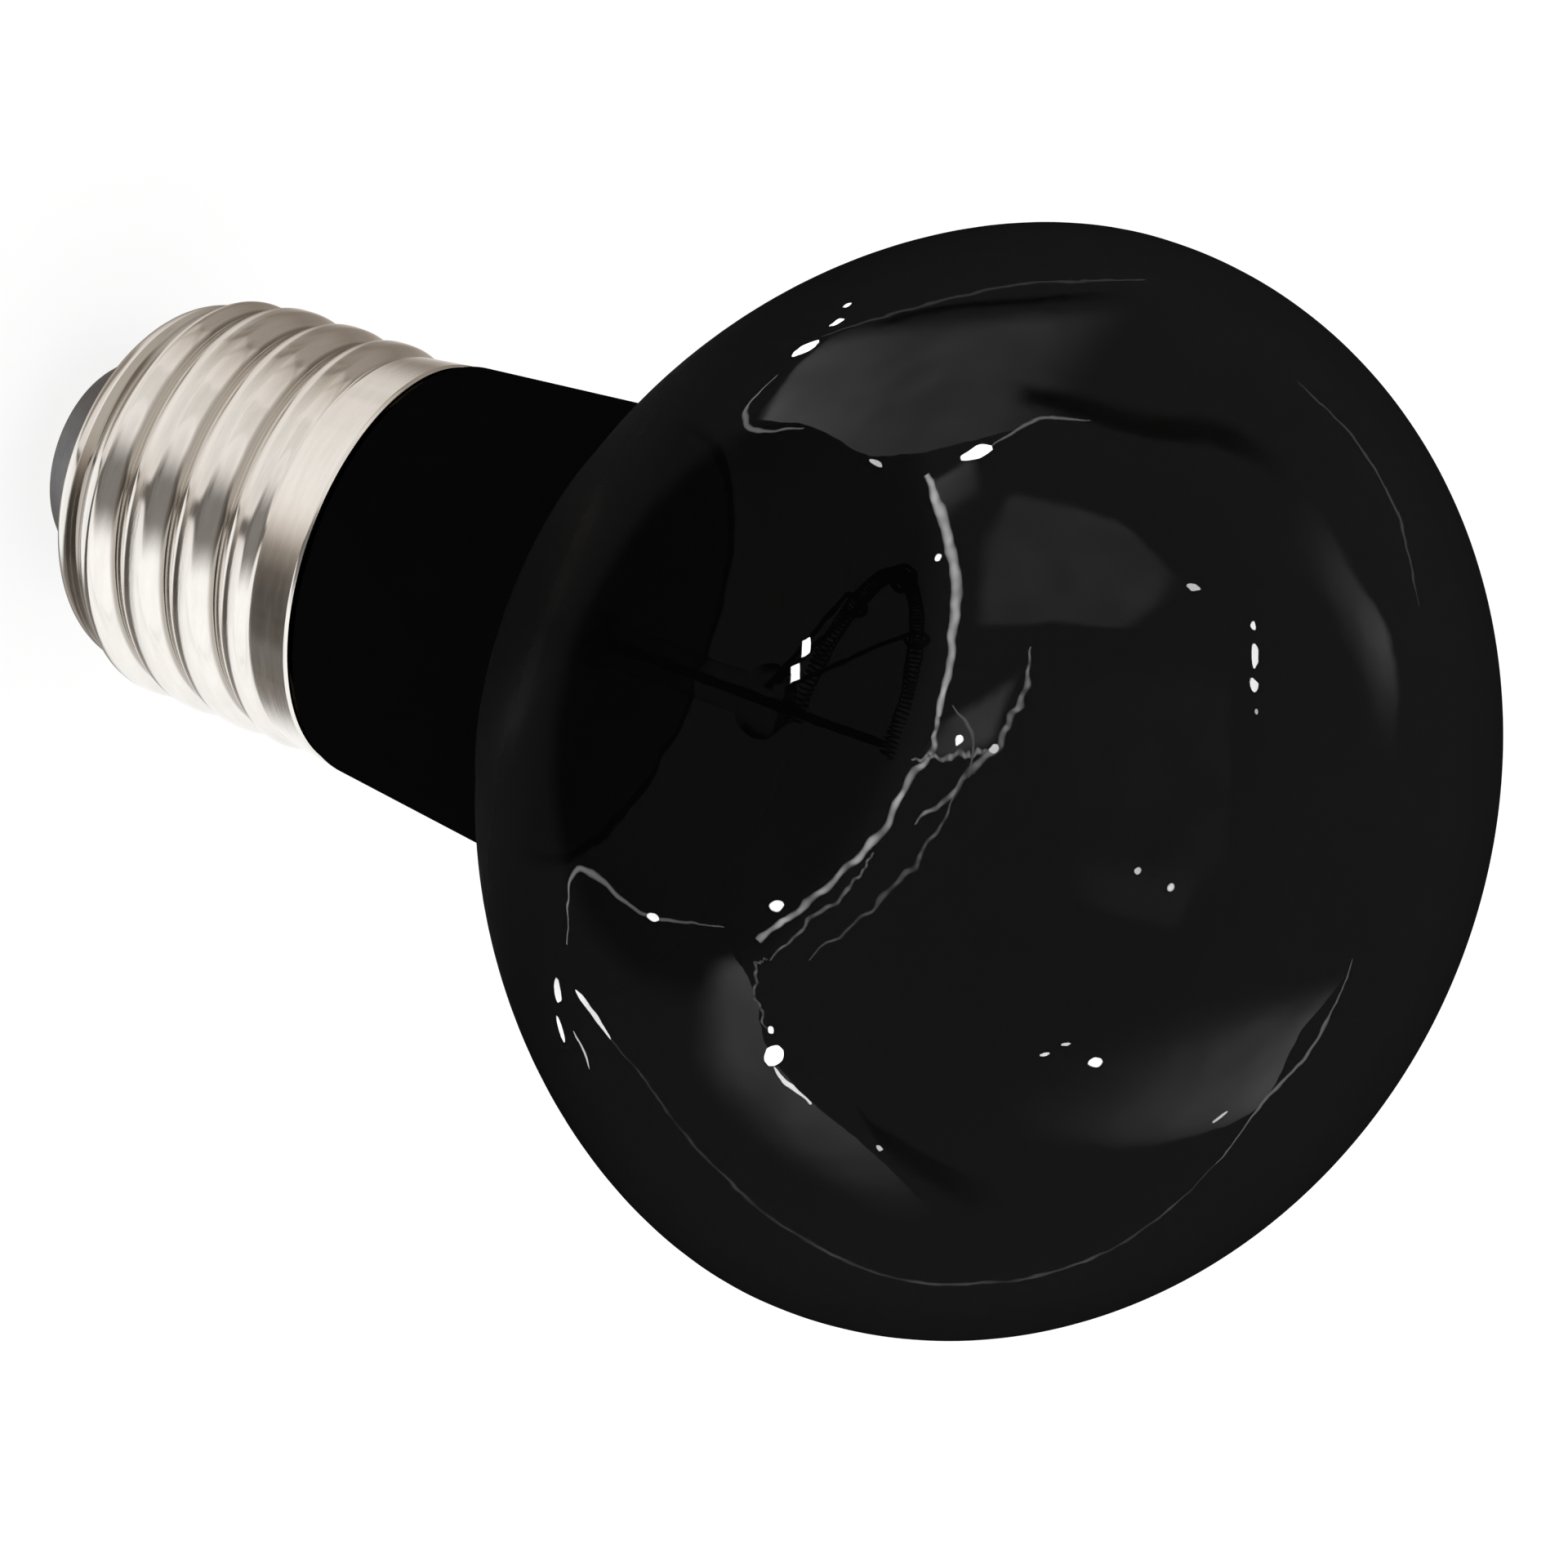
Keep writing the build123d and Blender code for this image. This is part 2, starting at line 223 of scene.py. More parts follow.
def make_piece(name: str, skin: tuple[np.ndarray, list]) -> Object:
    """Puts a skin into a smooth mesh object at the origin, with its faces outwards.

    The volume under all face fans, a sum of point products, is negative where the faces point inwards,
    and the faces are then turned over.

    Args:
        name: Name of the piece.
        skin: Points in millimetres, and faces.

    Returns:
        The new object, linked to the scene.
    """
    points, faces = skin
    first, second, third = (points[np.array([f[i] for f in faces])] for i in range(3))
    fourth = points[np.array([f[-1] for f in faces])]
    volume = np.einsum("ij,ij->", first, np.cross(second, third) + np.cross(third, fourth))
    if volume < 0:
        faces = [f[::-1] for f in faces]
    mesh = bpy.data.meshes.new(name)
    mesh.from_pydata((points * MM).tolist(), [], faces)
    mesh.polygons.foreach_set("use_smooth", np.ones(len(mesh.polygons), bool))
    mesh.update()
    piece = bpy.data.objects.new(name, mesh)
    bpy.context.scene.collection.objects.link(piece)
    return piece


# Shader groups

def new_group(name: str, inputs: dict, outputs: dict) -> NodeTree:
    """A shader node group with named sockets.

    Args:
        name: Name of the group.
        inputs: Socket name to default float.
        outputs: Socket name to socket type.

    Returns:
        The group's node tree, with its input and output nodes.
    """
    tree = bpy.data.node_groups.new(name, "ShaderNodeTree")
    for label, value in inputs.items():
        tree.interface.new_socket(label, in_out="INPUT", socket_type="NodeSocketFloat").default_value = value
    for label, kind in outputs.items():
        tree.interface.new_socket(label, in_out="OUTPUT", socket_type=kind)
    tree.nodes.new("NodeGroupInput")
    tree.nodes.new("NodeGroupOutput")
    return tree


def add_node(tree: NodeTree, kind: str, **values: object) -> Node:
    """A new node whose properties, or else sockets, take the given values, with _ for a space."""
    node = tree.nodes.new(kind)
    for label, value in values.items():
        if hasattr(node, label):
            setattr(node, label, value)
        else:
            node.inputs[label.replace("_", " ")].default_value = value
    return node


def add_math(tree: NodeTree, operation: str, second: float | None = None) -> Node:
    """A math node, with its second value where one is given."""
    node = add_node(tree, "ShaderNodeMath", operation=operation)
    if second is not None:
        node.inputs[1].default_value = second
    return node


def add_mix(tree: NodeTree, **colours: tuple) -> Node:
    """A colour mix whose sides, A or B, have the given linear colours."""
    node = add_node(tree, "ShaderNodeMix", data_type="RGBA")
    for side, colour in colours.items():
        node.inputs[side].default_value = (*colour, 1.0)
    return node


def add_range(tree: NodeTree, edge: tuple = (0.0, 1.0), levels: tuple = (0.0, 1.0),
              smooth: bool = False) -> Node:
    """A value that goes from one level to the other while its input goes from edge to edge."""
    kind = "SMOOTHSTEP" if smooth else "LINEAR"
    node = add_node(tree, "ShaderNodeMapRange", interpolation_type=kind)
    for label, value in zip(("From Min", "From Max", "To Min", "To Max"), (*edge, *levels)):
        node.inputs[label].default_value = value
    return node


def wire(tree: NodeTree, *links: tuple) -> None:
    """Links nodes; a link holds a node, its output, the next node and the input there."""
    for node, output, following, socket in links:
        tree.links.new(node.outputs[output], following.inputs[socket])


def new_material(name: str) -> Material:
    """A new material with the plain surface shader."""
    material = bpy.data.materials.new(name)
    material.use_nodes = True
    return material


def new_light(name: str) -> Material:
    """A new material without a surface shader, for a sheet that only reflections find."""
    material = new_material(name)
    material.node_tree.nodes.remove(material.node_tree.nodes["Principled BSDF"])
    material.cycles.emission_sampling = "NONE"
    return material


def mottle_group() -> NodeTree:
    """Two sizes of soft noise on Object coordinates, mapped to a range, with a height for bumps."""
    tree = new_group("soft_mottle", {"Scale": 200.0, "Stretch": 1.0, "Low": 0.0, "High": 1.0},
                     {"Value": "NodeSocketFloat", "Height": "NodeSocketFloat"})
    given, out = tree.nodes["Group Input"], tree.nodes["Group Output"]
    place = add_node(tree, "ShaderNodeTexCoord")
    axis = add_node(tree, "ShaderNodeCombineXYZ", X=1.0, Y=1.0)
    stretched = add_node(tree, "ShaderNodeVectorMath", operation="MULTIPLY")
    broad = add_node(tree, "ShaderNodeTexNoise", Detail=3.0, Roughness=0.55)
    fine = add_node(tree, "ShaderNodeTexNoise", Detail=2.0, Roughness=0.5)
    finer = add_math(tree, "MULTIPLY", FINER_SCALE)
    both = add_math(tree, "MULTIPLY_ADD", FINE_SHARE)
    spread = add_range(tree, MOTTLE_SPAN)
    wire(tree, (given, "Stretch", axis, "Z"), (place, "Object", stretched, 0), (axis, 0, stretched, 1),
         (stretched, 0, broad, "Vector"), (stretched, 0, fine, "Vector"), (given, "Scale", broad, "Scale"),
         (given, "Scale", finer, 0), (finer, 0, fine, "Scale"), (fine, 0, both, 0), (broad, 0, both, 2),
         (both, 0, spread, "Value"), (given, "Low", spread, "To Min"), (given, "High", spread, "To Max"),
         (spread, 0, out, "Value"), (both, 0, out, "Height"))
    return tree


def level_group() -> NodeTree:
    """A mask that goes from 0 to 1 between two heights on the lamp's axis, in Object coordinates."""
    tree = new_group("height_mask", {"From": 0.0, "To": 0.001}, {"Mask": "NodeSocketFloat"})
    given, out = tree.nodes["Group Input"], tree.nodes["Group Output"]
    place = add_node(tree, "ShaderNodeTexCoord")
    parts = add_node(tree, "ShaderNodeSeparateXYZ")
    spread = add_range(tree, smooth=True)
    wire(tree, (place, "Object", parts, 0), (parts, "Z", spread, "Value"),
         (given, "From", spread, "From Min"), (given, "To", spread, "From Max"), (spread, 0, out, "Mask"))
    return tree


def groove_group() -> NodeTree:
    """A mask that is 1 at the root radius of a thread and 0 at a wider one, between two heights."""
    tree = new_group("groove_mask", {"Root": 0.01, "Edge": 0.011, "Low": -0.02, "High": 0.0},
                     {"Mask": "NodeSocketFloat"})
    given, out = tree.nodes["Group Input"], tree.nodes["Group Output"]
    place = add_node(tree, "ShaderNodeTexCoord")
    flat = add_node(tree, "ShaderNodeVectorMath", operation="MULTIPLY")
    flat.inputs[1].default_value = (1, 1, 0)
    radius = add_node(tree, "ShaderNodeVectorMath", operation="LENGTH")
    parts = add_node(tree, "ShaderNodeSeparateXYZ")
    depth = add_range(tree, levels=(1.0, 0.0), smooth=True)
    above, below = add_math(tree, "GREATER_THAN"), add_math(tree, "LESS_THAN")
    between, mask = add_math(tree, "MULTIPLY"), add_math(tree, "MULTIPLY")
    wire(tree, (place, "Object", flat, 0), (flat, 0, radius, 0), (place, "Object", parts, 0),
         (radius, "Value", depth, "Value"), (given, "Root", depth, "From Min"),
         (given, "Edge", depth, "From Max"), (parts, "Z", above, 0), (given, "Low", above, 1),
         (parts, "Z", below, 0), (given, "High", below, 1), (above, 0, between, 0), (below, 0, between, 1),
         (depth, 0, mask, 0), (between, 0, mask, 1), (mask, 0, out, "Mask"))
    return tree


@dataclass
class ShaderGroups:
    """The node groups that the finishes share."""

    mottle: NodeTree = field(default_factory=mottle_group)
    level: NodeTree = field(default_factory=level_group)
    groove: NodeTree = field(default_factory=groove_group)


# Finishes

class Slot(Enum):
    """The record's material slots."""

    DARK_GLASS = "dark_glass"
    STEM_GLASS = "stem_glass"
    PLATED_SHEET = "plated_sheet"
    BLACK_INSULATOR = "black_insulator"
    CONTACT_PLATE = "contact_plate"
    SOLDER = "solder"
    CEMENT = "cement"
    LEAD_WIRE = "lead_wire"
    FILAMENT = "filament"
    SUPPORT_WIRE = "support_wire"


@dataclass(frozen=True)
class Finish:
    """A finish with mottled colour and roughness, and a fine bump.

    Attributes:
        slot: The material slot that it fills.
        colour: Linear colour of the lighter parts.
        shade: Linear colour of the darker parts.
        roughness: Lowest and highest roughness.
        scale: Noise scale in turns per metre.
        stretch: How much finer the noise is along the axis than across it.
        bump: Height of the bump in millimetres.
        metallic: Metallic value.
        transmission: Transmission weight.
        ior: Index of refraction.
        specular: Strength of the reflection, 0.5 where the index of refraction alone sets it.
        label: Name of the material, where it isn't the slot's.
    """

    slot: Slot
    colour: tuple
    shade: tuple
    roughness: tuple = (0.3, 0.45)
    scale: float = 300.0
    stretch: float = 1.0
    bump: float = 0.01
    metallic: float = 0.0
    transmission: float = 0.0
    ior: float = 1.5
    specular: float = 0.5
    label: str = ""

    def build(self, groups: ShaderGroups) -> Material:
        """Makes the material.

        Args:
            groups: The shared node groups.

        Returns:
            The new material.
        """
        material = new_material(self.label or self.slot.value)
        tree = material.node_tree
        skin = tree.nodes["Principled BSDF"]
        for label, value in (("Metallic", self.metallic), ("Transmission Weight", self.transmission),
                             ("IOR", self.ior), ("Specular IOR Level", self.specular)):
            skin.inputs[label].default_value = value
        tone, gloss = self.mottle(tree, groups, 0.0, 1.0), self.mottle(tree, groups, *self.roughness)
        mix = add_mix(tree, A=self.shade, B=self.colour)
        bump = add_node(tree, "ShaderNodeBump", Distance=self.bump * MM, Strength=1.0)
        wire(tree, (tone, "Value", mix, "Factor"), (tone, "Height", bump, "Height"),
             (bump, 0, skin, "Normal"))
        tree.links.new(self.tint(tree, groups, mix.outputs["Result"]), skin.inputs["Base Color"])
        tree.links.new(self.polish(tree, groups, gloss.outputs["Value"]), skin.inputs["Roughness"])
        return material

    def mottle(self, tree: NodeTree, groups: ShaderGroups, low: float, high: float) -> Node:
        """Places the mottle group with this finish's scale and the given range."""
        node = add_node(tree, "ShaderNodeGroup", node_tree=groups.mottle)
        for label, value in (("Scale", self.scale), ("Stretch", self.stretch), ("Low", low), ("High", high)):
            node.inputs[label].default_value = value
        return node

    def tint(self, tree: NodeTree, groups: ShaderGroups, colour: NodeSocket) -> NodeSocket:
        """The colour that reaches the shader; a plain finish leaves it as it is."""
        return colour

    def polish(self, tree: NodeTree, groups: ShaderGroups, roughness: NodeSocket) -> NodeSocket:
        """The roughness that reaches the shader; a plain finish leaves it as it is."""
        return roughness


@dataclass(frozen=True)
class DarkGlass(Finish):
    """Smoke-black glass that is matt at the foot of the bowl.

    Attributes:
        foot_roughness: Roughness of the bowl's foot.
        foot: Heights in millimetres between which the foot ends.
    """

    foot_roughness: float = 0.34
    foot: tuple = (17.0, 27.0)

    def polish(self, tree: NodeTree, groups: ShaderGroups, roughness: NodeSocket) -> NodeSocket:
        """Makes the foot matt by a height mask.

        Args:
            tree: The material's node tree.
            groups: The shared node groups.
            roughness: The glass's own roughness.

        Returns:
            The socket that feeds Roughness.
        """
        mask = add_node(tree, "ShaderNodeGroup", node_tree=groups.level)
        for label, edge in zip(("From", "To"), self.foot):
            mask.inputs[label].default_value = edge * MM
        mix = add_node(tree, "ShaderNodeMix", data_type="FLOAT")
        mix.inputs["A"].default_value = self.foot_roughness
        tree.links.new(mask.outputs["Mask"], mix.inputs["Factor"])
        tree.links.new(roughness, mix.inputs["B"])
        return mix.outputs["Result"]


@dataclass(frozen=True)
class PlatedSheet(Finish):
    """Nickel plate with painted shade, a darker warm grey, in the grooves of the thread.

    Attributes:
        groove_shade: Linear colour of the painted shade at the groove's bottom.
        groove: Radii in millimetres between which the tarnish ends.
        reach: Heights in millimetres of the thread's ends.
        mirror_reach: Distance in millimetres beyond which a reflection shows the plate dim.
        mirrored: Linear colour of the plate in such a reflection.
    """

    # Painted shade: a darker warm grey laid into the bottoms of the thread's grooves.
    groove_shade: tuple = (0.42, 0.385, 0.34)
    groove: tuple = (12.46, 12.58)
    reach: tuple = (-17.2, -3.6)
    mirror_reach: float = 5.0
    mirrored: tuple = (0.008, 0.008, 0.008)

    def tint(self, tree: NodeTree, groups: ShaderGroups, colour: NodeSocket) -> NodeSocket:
        """Lays painted shade into the grooves by a groove mask, and keeps the plate dim where the glass
        reflects it.

        Args:
            tree: The material's node tree.
            groups: The shared node groups.
            colour: The mottled plate colour.

        Returns:
            The socket that feeds Base Color.
        """
        mask = add_node(tree, "ShaderNodeGroup", node_tree=groups.groove)
        for label, size in zip(("Root", "Edge", "Low", "High"), (*self.groove, *self.reach)):
            mask.inputs[label].default_value = size * MM
        # The first mix lays the painted shade into the grooves; the second keeps the plate dim in long
        # reflections.
        mix, seen = add_mix(tree, B=self.groove_shade), add_mix(tree, B=self.mirrored)
        path = add_node(tree, "ShaderNodeLightPath")
        far = add_math(tree, "GREATER_THAN", self.mirror_reach * MM)
        glass = add_math(tree, "MULTIPLY")
        glass.use_clamp = True
        tree.links.new(colour, mix.inputs["A"])
        wire(tree, (mask, "Mask", mix, "Factor"), (path, "Ray Length", far, 0),
             (path, "Glossy Depth", glass, 0), (far, 0, glass, 1), (glass, 0, seen, "Factor"),
             (mix, "Result", seen, "A"))
        return seen.outputs["Result"]


DARK_GLASS = DarkGlass(
    Slot.DARK_GLASS, (0.064, 0.063, 0.062), (0.057, 0.056, 0.055), roughness=(0.0, 0.02), scale=60.0,
    bump=0.04, transmission=1.0, ior=1.42)
NECK_COAT = Finish(
    Slot.DARK_GLASS, (0.0022,) * 3, (0.0016,) * 3, roughness=(0.5, 0.65), scale=60.0, bump=0.02,
    specular=0.0, label="neck_coat")
NECK_LINING = Finish(
    Slot.DARK_GLASS, (0.70,) * 3, (0.58,) * 3, roughness=(0.5, 0.65), scale=60.0, bump=0.02,
    specular=0.0, label="neck_lining")
STEM_GLASS = Finish(
    Slot.STEM_GLASS, (0.86, 0.89, 0.88), (0.8, 0.84, 0.83), roughness=(0.02, 0.06), scale=150.0,
    bump=0.002, transmission=1.0)
NICKEL = PlatedSheet(
    Slot.PLATED_SHEET, (0.86, 0.83, 0.79), (0.78, 0.75, 0.71), roughness=(0.08, 0.15), scale=260.0,
    stretch=8.0, bump=0.004, metallic=1.0)
BLACK_INSULATOR = Finish(
    Slot.BLACK_INSULATOR, (0.014, 0.013, 0.016), (0.006, 0.006, 0.007), scale=250.0)
CONTACT = Finish(
    Slot.CONTACT_PLATE, (0.78, 0.74, 0.68), (0.62, 0.57, 0.50), roughness=(0.22, 0.36), scale=400.0,
    bump=0.006, metallic=1.0)
SOLDER = Finish(
    Slot.SOLDER, (0.66, 0.66, 0.67), (0.44, 0.44, 0.45), roughness=(0.3, 0.5), scale=700.0, bump=0.03,
    metallic=1.0)
CEMENT = Finish(
    Slot.CEMENT, (0.42, 0.33, 0.24), (0.30, 0.23, 0.16), roughness=(0.8, 0.95), scale=500.0, bump=0.05)
LEAD_WIRE = Finish(
    Slot.LEAD_WIRE, (0.66, 0.63, 0.60), (0.48, 0.46, 0.43), roughness=(0.25, 0.4), scale=900.0,
    bump=0.004, metallic=1.0)
FILAMENT = Finish(
    Slot.FILAMENT, (0.30, 0.30, 0.31), (0.18, 0.18, 0.19), roughness=(0.35, 0.5), scale=1500.0,
    bump=0.004, metallic=1.0)
SUPPORT_WIRE = Finish(
    Slot.SUPPORT_WIRE, (0.46, 0.46, 0.47), (0.32, 0.32, 0.33), scale=900.0, bump=0.004, metallic=1.0)


# Sub-assemblies

@dataclass
class Bulb:
    """The blown envelope: dome, bowl, neck and the tail that goes into the cap."""

    head_radius: float = 31.6
    front_depth: float = 27.7
    bowl_depth: float = 25.05
    bowl_angle: float = 62.4
    bowl_fullness: float = 0.79
    neck_length: float = 13.95
    neck_flare: float = 1.2
    neck_radius: float = 13.25
    wall: float = 0.9
    corner_blend: float = 1.5
    shoulder_blend: float = 0.8
    rim_gap: float = 0.1
    tail_radius: float = 11.2
    tail_length: float = 8.5
    tail_blend: float = 0.05
    coat_edge: float = 14.0
    bowl_steps: int = 240
    dome_steps: int = 110
    bend_steps: int = 10
    neck_steps: int = 14
    segments: int = 180

    def outline(self, inset: float, tail_radius: float) -> np.ndarray:
        """Half section of one glass surface, from the tail's foot to the front pole.

        The tail, shoulder and neck are straight stretches with rounded corners. The bowl is a rational
        curve from the neck's corner to the equator, and the front a quarter of an ellipse.

        Args:
            inset: How far the surface lies inside the outer one, in millimetres.
            tail_radius: Radius of the tail at this surface.

        Returns:
            Array of (radius, height).
        """
        foot = np.array([self.neck_radius, self.rim_gap])
        corner = foot + [self.neck_flare, self.neck_length]
        along_neck = (corner - foot) / np.linalg.norm(corner - foot)
        angle = math.radians(self.bowl_angle)
        along_bowl = np.array([math.sin(angle), math.cos(angle)])
        neck_in, bowl_in = along_neck[::-1] * [-1, 1], along_bowl[::-1] * [-1, 1]
        corner = corner + (neck_in + bowl_in) * inset / (1 + neck_in @ bowl_in)
        equator = self.rim_gap + self.neck_length + self.bowl_depth
        radius, front = self.head_radius - inset, equator + self.front_depth - inset
        level = self.rim_gap + inset
        foot = np.array([corner[0] - (corner[1] - level) * along_neck[0] / along_neck[1], level])
        shoulder = (radius, corner[1] + (radius - corner[0]) / math.tan(angle))
        bowl = blend_curve(corner, shoulder, (radius, equator), self.bowl_fullness, self.bowl_steps)
        fillet = self.corner_blend + inset
        reach = fillet * math.tan((angle - math.atan2(self.neck_flare, self.neck_length)) / 2)
        bowl = bowl[np.linalg.norm(bowl - corner, axis=1) > reach]
        bend = self.bend_steps
        neck = rounded([(tail_radius, -self.tail_length), (tail_radius, level), foot, corner, bowl[0]],
                       [self.tail_blend, self.shoulder_blend, fillet], bend)[:-1]
        run = straight(neck[-bend - 1], neck[-bend], self.neck_steps)[1:-1]
        dome = blend_curve((radius, equator), (radius, front), (0, front), math.sqrt(0.5), self.dome_steps)
        return np.concatenate([neck[:-bend], run, neck[-bend:], bowl[1::2], dome[1:]])

    def build(self) -> Object:
        """Makes the glass as one closed wall: inner surface from front to tail, then the outer one."""
        outer = self.outline(0.0, self.tail_radius)
        inner = self.outline(self.wall, self.tail_radius - self.wall)
        return make_piece("bulb_glass", turned_skin(np.concatenate([inner[::-1], outer]), self.segments))

    def dress(self, piece: Object, glass: Material, coat: Material, lining: Material) -> None:
        """Gives the glass its place and finish, with the neck coated outside and lined inside.

        Args:
            piece: The glass.
            glass: Finish of the head.
            coat: Finish of the neck's outer faces.
            lining: Finish of its inner faces, which point towards the axis.
        """
        settle(piece, glass, "glass_bulb")
        piece.data.materials.append(coat)
        piece.data.materials.append(lining)
        faces = piece.data.polygons
        middles, normals = np.empty((2, 3 * len(faces)), np.float32)
        faces.foreach_get("center", middles)
        faces.foreach_get("normal", normals)
        outward = middles[0::3] * normals[0::3] + middles[1::3] * normals[1::3] > 0
        neck = middles[2::3] < self.coat_edge * MM
        faces.foreach_set("material_index", np.where(neck, np.where(outward, 1, 2), 0).astype(np.int32))


@dataclass
class ScrewCap:
    """The plated shell with its rolled round thread, the insulator, the contact and its solder."""

    crest_radius: float = 13.15
    root_radius: float = 12.45
    pitch: float = 25.4 / 7
    turns: float = 3.5
    start_angle: float = 137.0
    crest_width: float = 1.8
    rim_flare: float = 0.35
    fade_out: float = 2.2
    sheet: float = 0.3
    skirt_radius: float = 12.8
    skirt_height: float = 3.0
    runout: float = 0.9
    end_radius: float = 12.1
    end_height: float = 1.4
    curl: float = 2.0
    mouth_radius: float = 10.0
    flange: float = 1.0
    flange_radius: float = 10.4
    insulator_height: float = 4.5
    tip_radius: float = 6.5
    hole_radius: float = 1.2
    contact_radius: float = 5.2
    contact_thickness: float = 0.6
    contact_seam: float = 0.1
    solder_radius: float = 2.5
    solder_height: float = 0.8
    solder_waves: tuple = ((0.03, 2, 0.7), (0.015, 5, 0.0))
    rim_gap: float = 0.06
    curl_gap: float = 0.05
    plug_blends: tuple = (0.05, 0.2, 0.05, 0.02, 0.25, 0.5, 0.05)
    contact_blends: tuple = (0.02, 0.05, 0.25, 0.05)
    rim_steps: int = 12
    level_steps: int = 170
    curl_steps: int = 14
    blend_steps: int = 6
    drop_steps: int = 20
    segments: int = 240
    plug_segments: int = 160
    contact_segments: int = 128
    drop_segments: int = 72

    @property
    def thread_top(self) -> float:
        """Height at which the full thread begins below the skirt."""
        return -self.skirt_height - self.runout

    @property
    def thread_bottom(self) -> float:
        """Height at which the full thread ends."""
        return self.thread_top - self.turns * self.pitch

    @property
    def shell_bottom(self) -> float:
        """Height of the shell's curled end."""
        return self.thread_bottom - self.runout - self.end_height

    def shell_outline(self, inset: float) -> tuple[np.ndarray, np.ndarray]:
        """Crest radius, height and thread depth down one side of the sheet.

        Args:
            inset: 0 for the outside, the sheet's thickness for the inside.

        Returns:
            Array of (radius, height), and the depth of the thread's groove at each point.
        """
        low = self.shell_bottom + inset
        bottom = self.shell_bottom + self.curl + self.curl_gap
        levels = np.linspace(-self.skirt_height, bottom, self.level_steps)
        up = ease(levels - self.thread_top, self.runout)
        down = ease(self.fade_out - (levels - levels[-1]), self.fade_out)
        crest = self.crest_radius
        radius = crest + up * (self.skirt_radius - crest) + down * (self.end_radius - crest) - inset
        depth = (crest - self.root_radius) * (1 - up) * (1 - down)
        skirt = self.skirt_radius - inset
        rim = straight((skirt + self.rim_flare, -self.rim_gap), (skirt, -self.skirt_height), self.rim_steps)
        rim, mouth = rim[:-1], self.mouth_radius + self.rim_gap
        end = rounded([(radius[-1], levels[-1]), (radius[-1], low), (mouth, low)], [self.curl - inset],
                      self.curl_steps)[1:]
        outline = np.concatenate([rim, np.stack([radius, levels], axis=1), end])
        return outline, np.concatenate([np.zeros(len(rim)), depth, np.zeros(len(end))])

    def build_shell(self) -> Object:
        """Makes the sheet shell.

        At height z and angle a, the groove's phase is a minus an angle that turns once in each pitch. The
        radius is the crest's, less the depth times a power of half of one minus the phase's cosine, so the
        crests are broad and the grooves narrow. The outside runs down, the inside runs back up, and the
        two meet at the rim and at the mouth.

        Returns:
            The shell as one closed piece.
        """
        outer, outer_depth = self.shell_outline(0.0)
        inner, inner_depth = self.shell_outline(self.sheet)
        rim = np.array([[self.skirt_radius + self.rim_flare - self.sheet / 2, 0.0]])
        mouth = np.array([[self.mouth_radius, self.shell_bottom + self.sheet / 2]])
        outline = np.concatenate([rim, outer, mouth, inner[::-1]])
        depth = np.concatenate([[0.0], outer_depth, [0.0], inner_depth[::-1]])[:, None]
        level = outline[:, 1:]
        angle = np.linspace(0, TURN, self.segments, endpoint=False)[None]
        phase = angle - TURN * (level - self.thread_bottom) / self.pitch - math.radians(self.start_angle)
        radius = outline[:, :1] - depth * ((1 - np.cos(phase)) / 2) ** self.crest_width
        rings = np.stack([radius * np.cos(angle), radius * np.sin(angle), level + 0 * angle], axis=-1)
        return make_piece("screw_shell", closed_rings(rings, None, None, True))

    def build_insulator(self) -> Object:
        """Makes the cast plug: a turned ring with a flange inside the shell and a cone below it."""
        hole, flange, mouth = self.hole_radius, self.flange_radius, self.mouth_radius
        floor = self.shell_bottom + self.sheet
        top, tip = floor + self.flange, self.shell_bottom - self.insulator_height
        corners = [(hole, floor), (hole, top), (flange, top), (flange, floor), (mouth, floor),
                   (mouth, self.shell_bottom), (self.tip_radius, tip), (hole, tip), (hole, floor)]
        outline = rounded(corners, self.plug_blends, self.blend_steps)
        return make_piece("cap_plug", turned_skin(outline[:-1], self.plug_segments, loop=True))

    def build_contact(self) -> Object:
        """Makes the contact plate: a turned ring with a rounded lower edge."""
        hole, wide = self.hole_radius, self.contact_radius
        top = self.shell_bottom - self.insulator_height
        low, seam = top - self.contact_thickness, top - self.contact_seam
        corners = [(hole, seam), (hole, top), (wide, top), (wide, low), (hole, low), (hole, seam)]
        outline = rounded(corners, self.contact_blends, self.blend_steps)
        return make_piece("contact_disc", turned_skin(outline[:-1], self.contact_segments, loop=True))

    def build_solder(self) -> Object:
        """Makes the solder drop on the contact.

        The drop is a turned cap of a sphere over a plug that fills the hole. Its radius swings by a few
        per cent with two and with five waves round the axis, as a drop that set by itself does.

        Returns:
            The drop as one closed piece.
        """
        top = self.shell_bottom - self.insulator_height
        low = top - self.contact_thickness
        ball = (self.solder_radius**2 + self.solder_height**2) / (2 * self.solder_height)
        lean = np.linspace(0, math.asin(self.solder_radius / ball), self.drop_steps)
        drop = np.stack([ball * np.sin(lean), low - self.solder_height + ball * (1 - np.cos(lean))], axis=1)
        plug = np.array([[self.hole_radius, low], [self.hole_radius, top], [0.0, top]])
        points, faces = turned_skin(np.concatenate([drop, plug]), self.drop_segments)
        angle = np.arctan2(points[:, 1], points[:, 0])
        wave = 1 + sum(waves(angle, self.solder_waves))
        points[:, :2] *= np.where(points[:, 2] < low, wave, 1.0)[:, None]
        return make_piece("contact_drop", (points, faces))

    def dress(self, pieces: dict, materials: dict) -> None:
        """Gives the cap's pieces their finishes and their places on the body.

        Args:
            pieces: The new pieces by the name of the CAD node that they stand for.
            materials: Materials by slot.
        """
        slots = {"cap_shell": Slot.PLATED_SHEET, "cap_insulator": Slot.BLACK_INSULATOR,
                 "cap_contact": Slot.CONTACT_PLATE, "contact_solder": Slot.SOLDER}
        for node, piece in pieces.items():
            settle(piece, materials[slots[node]], node)


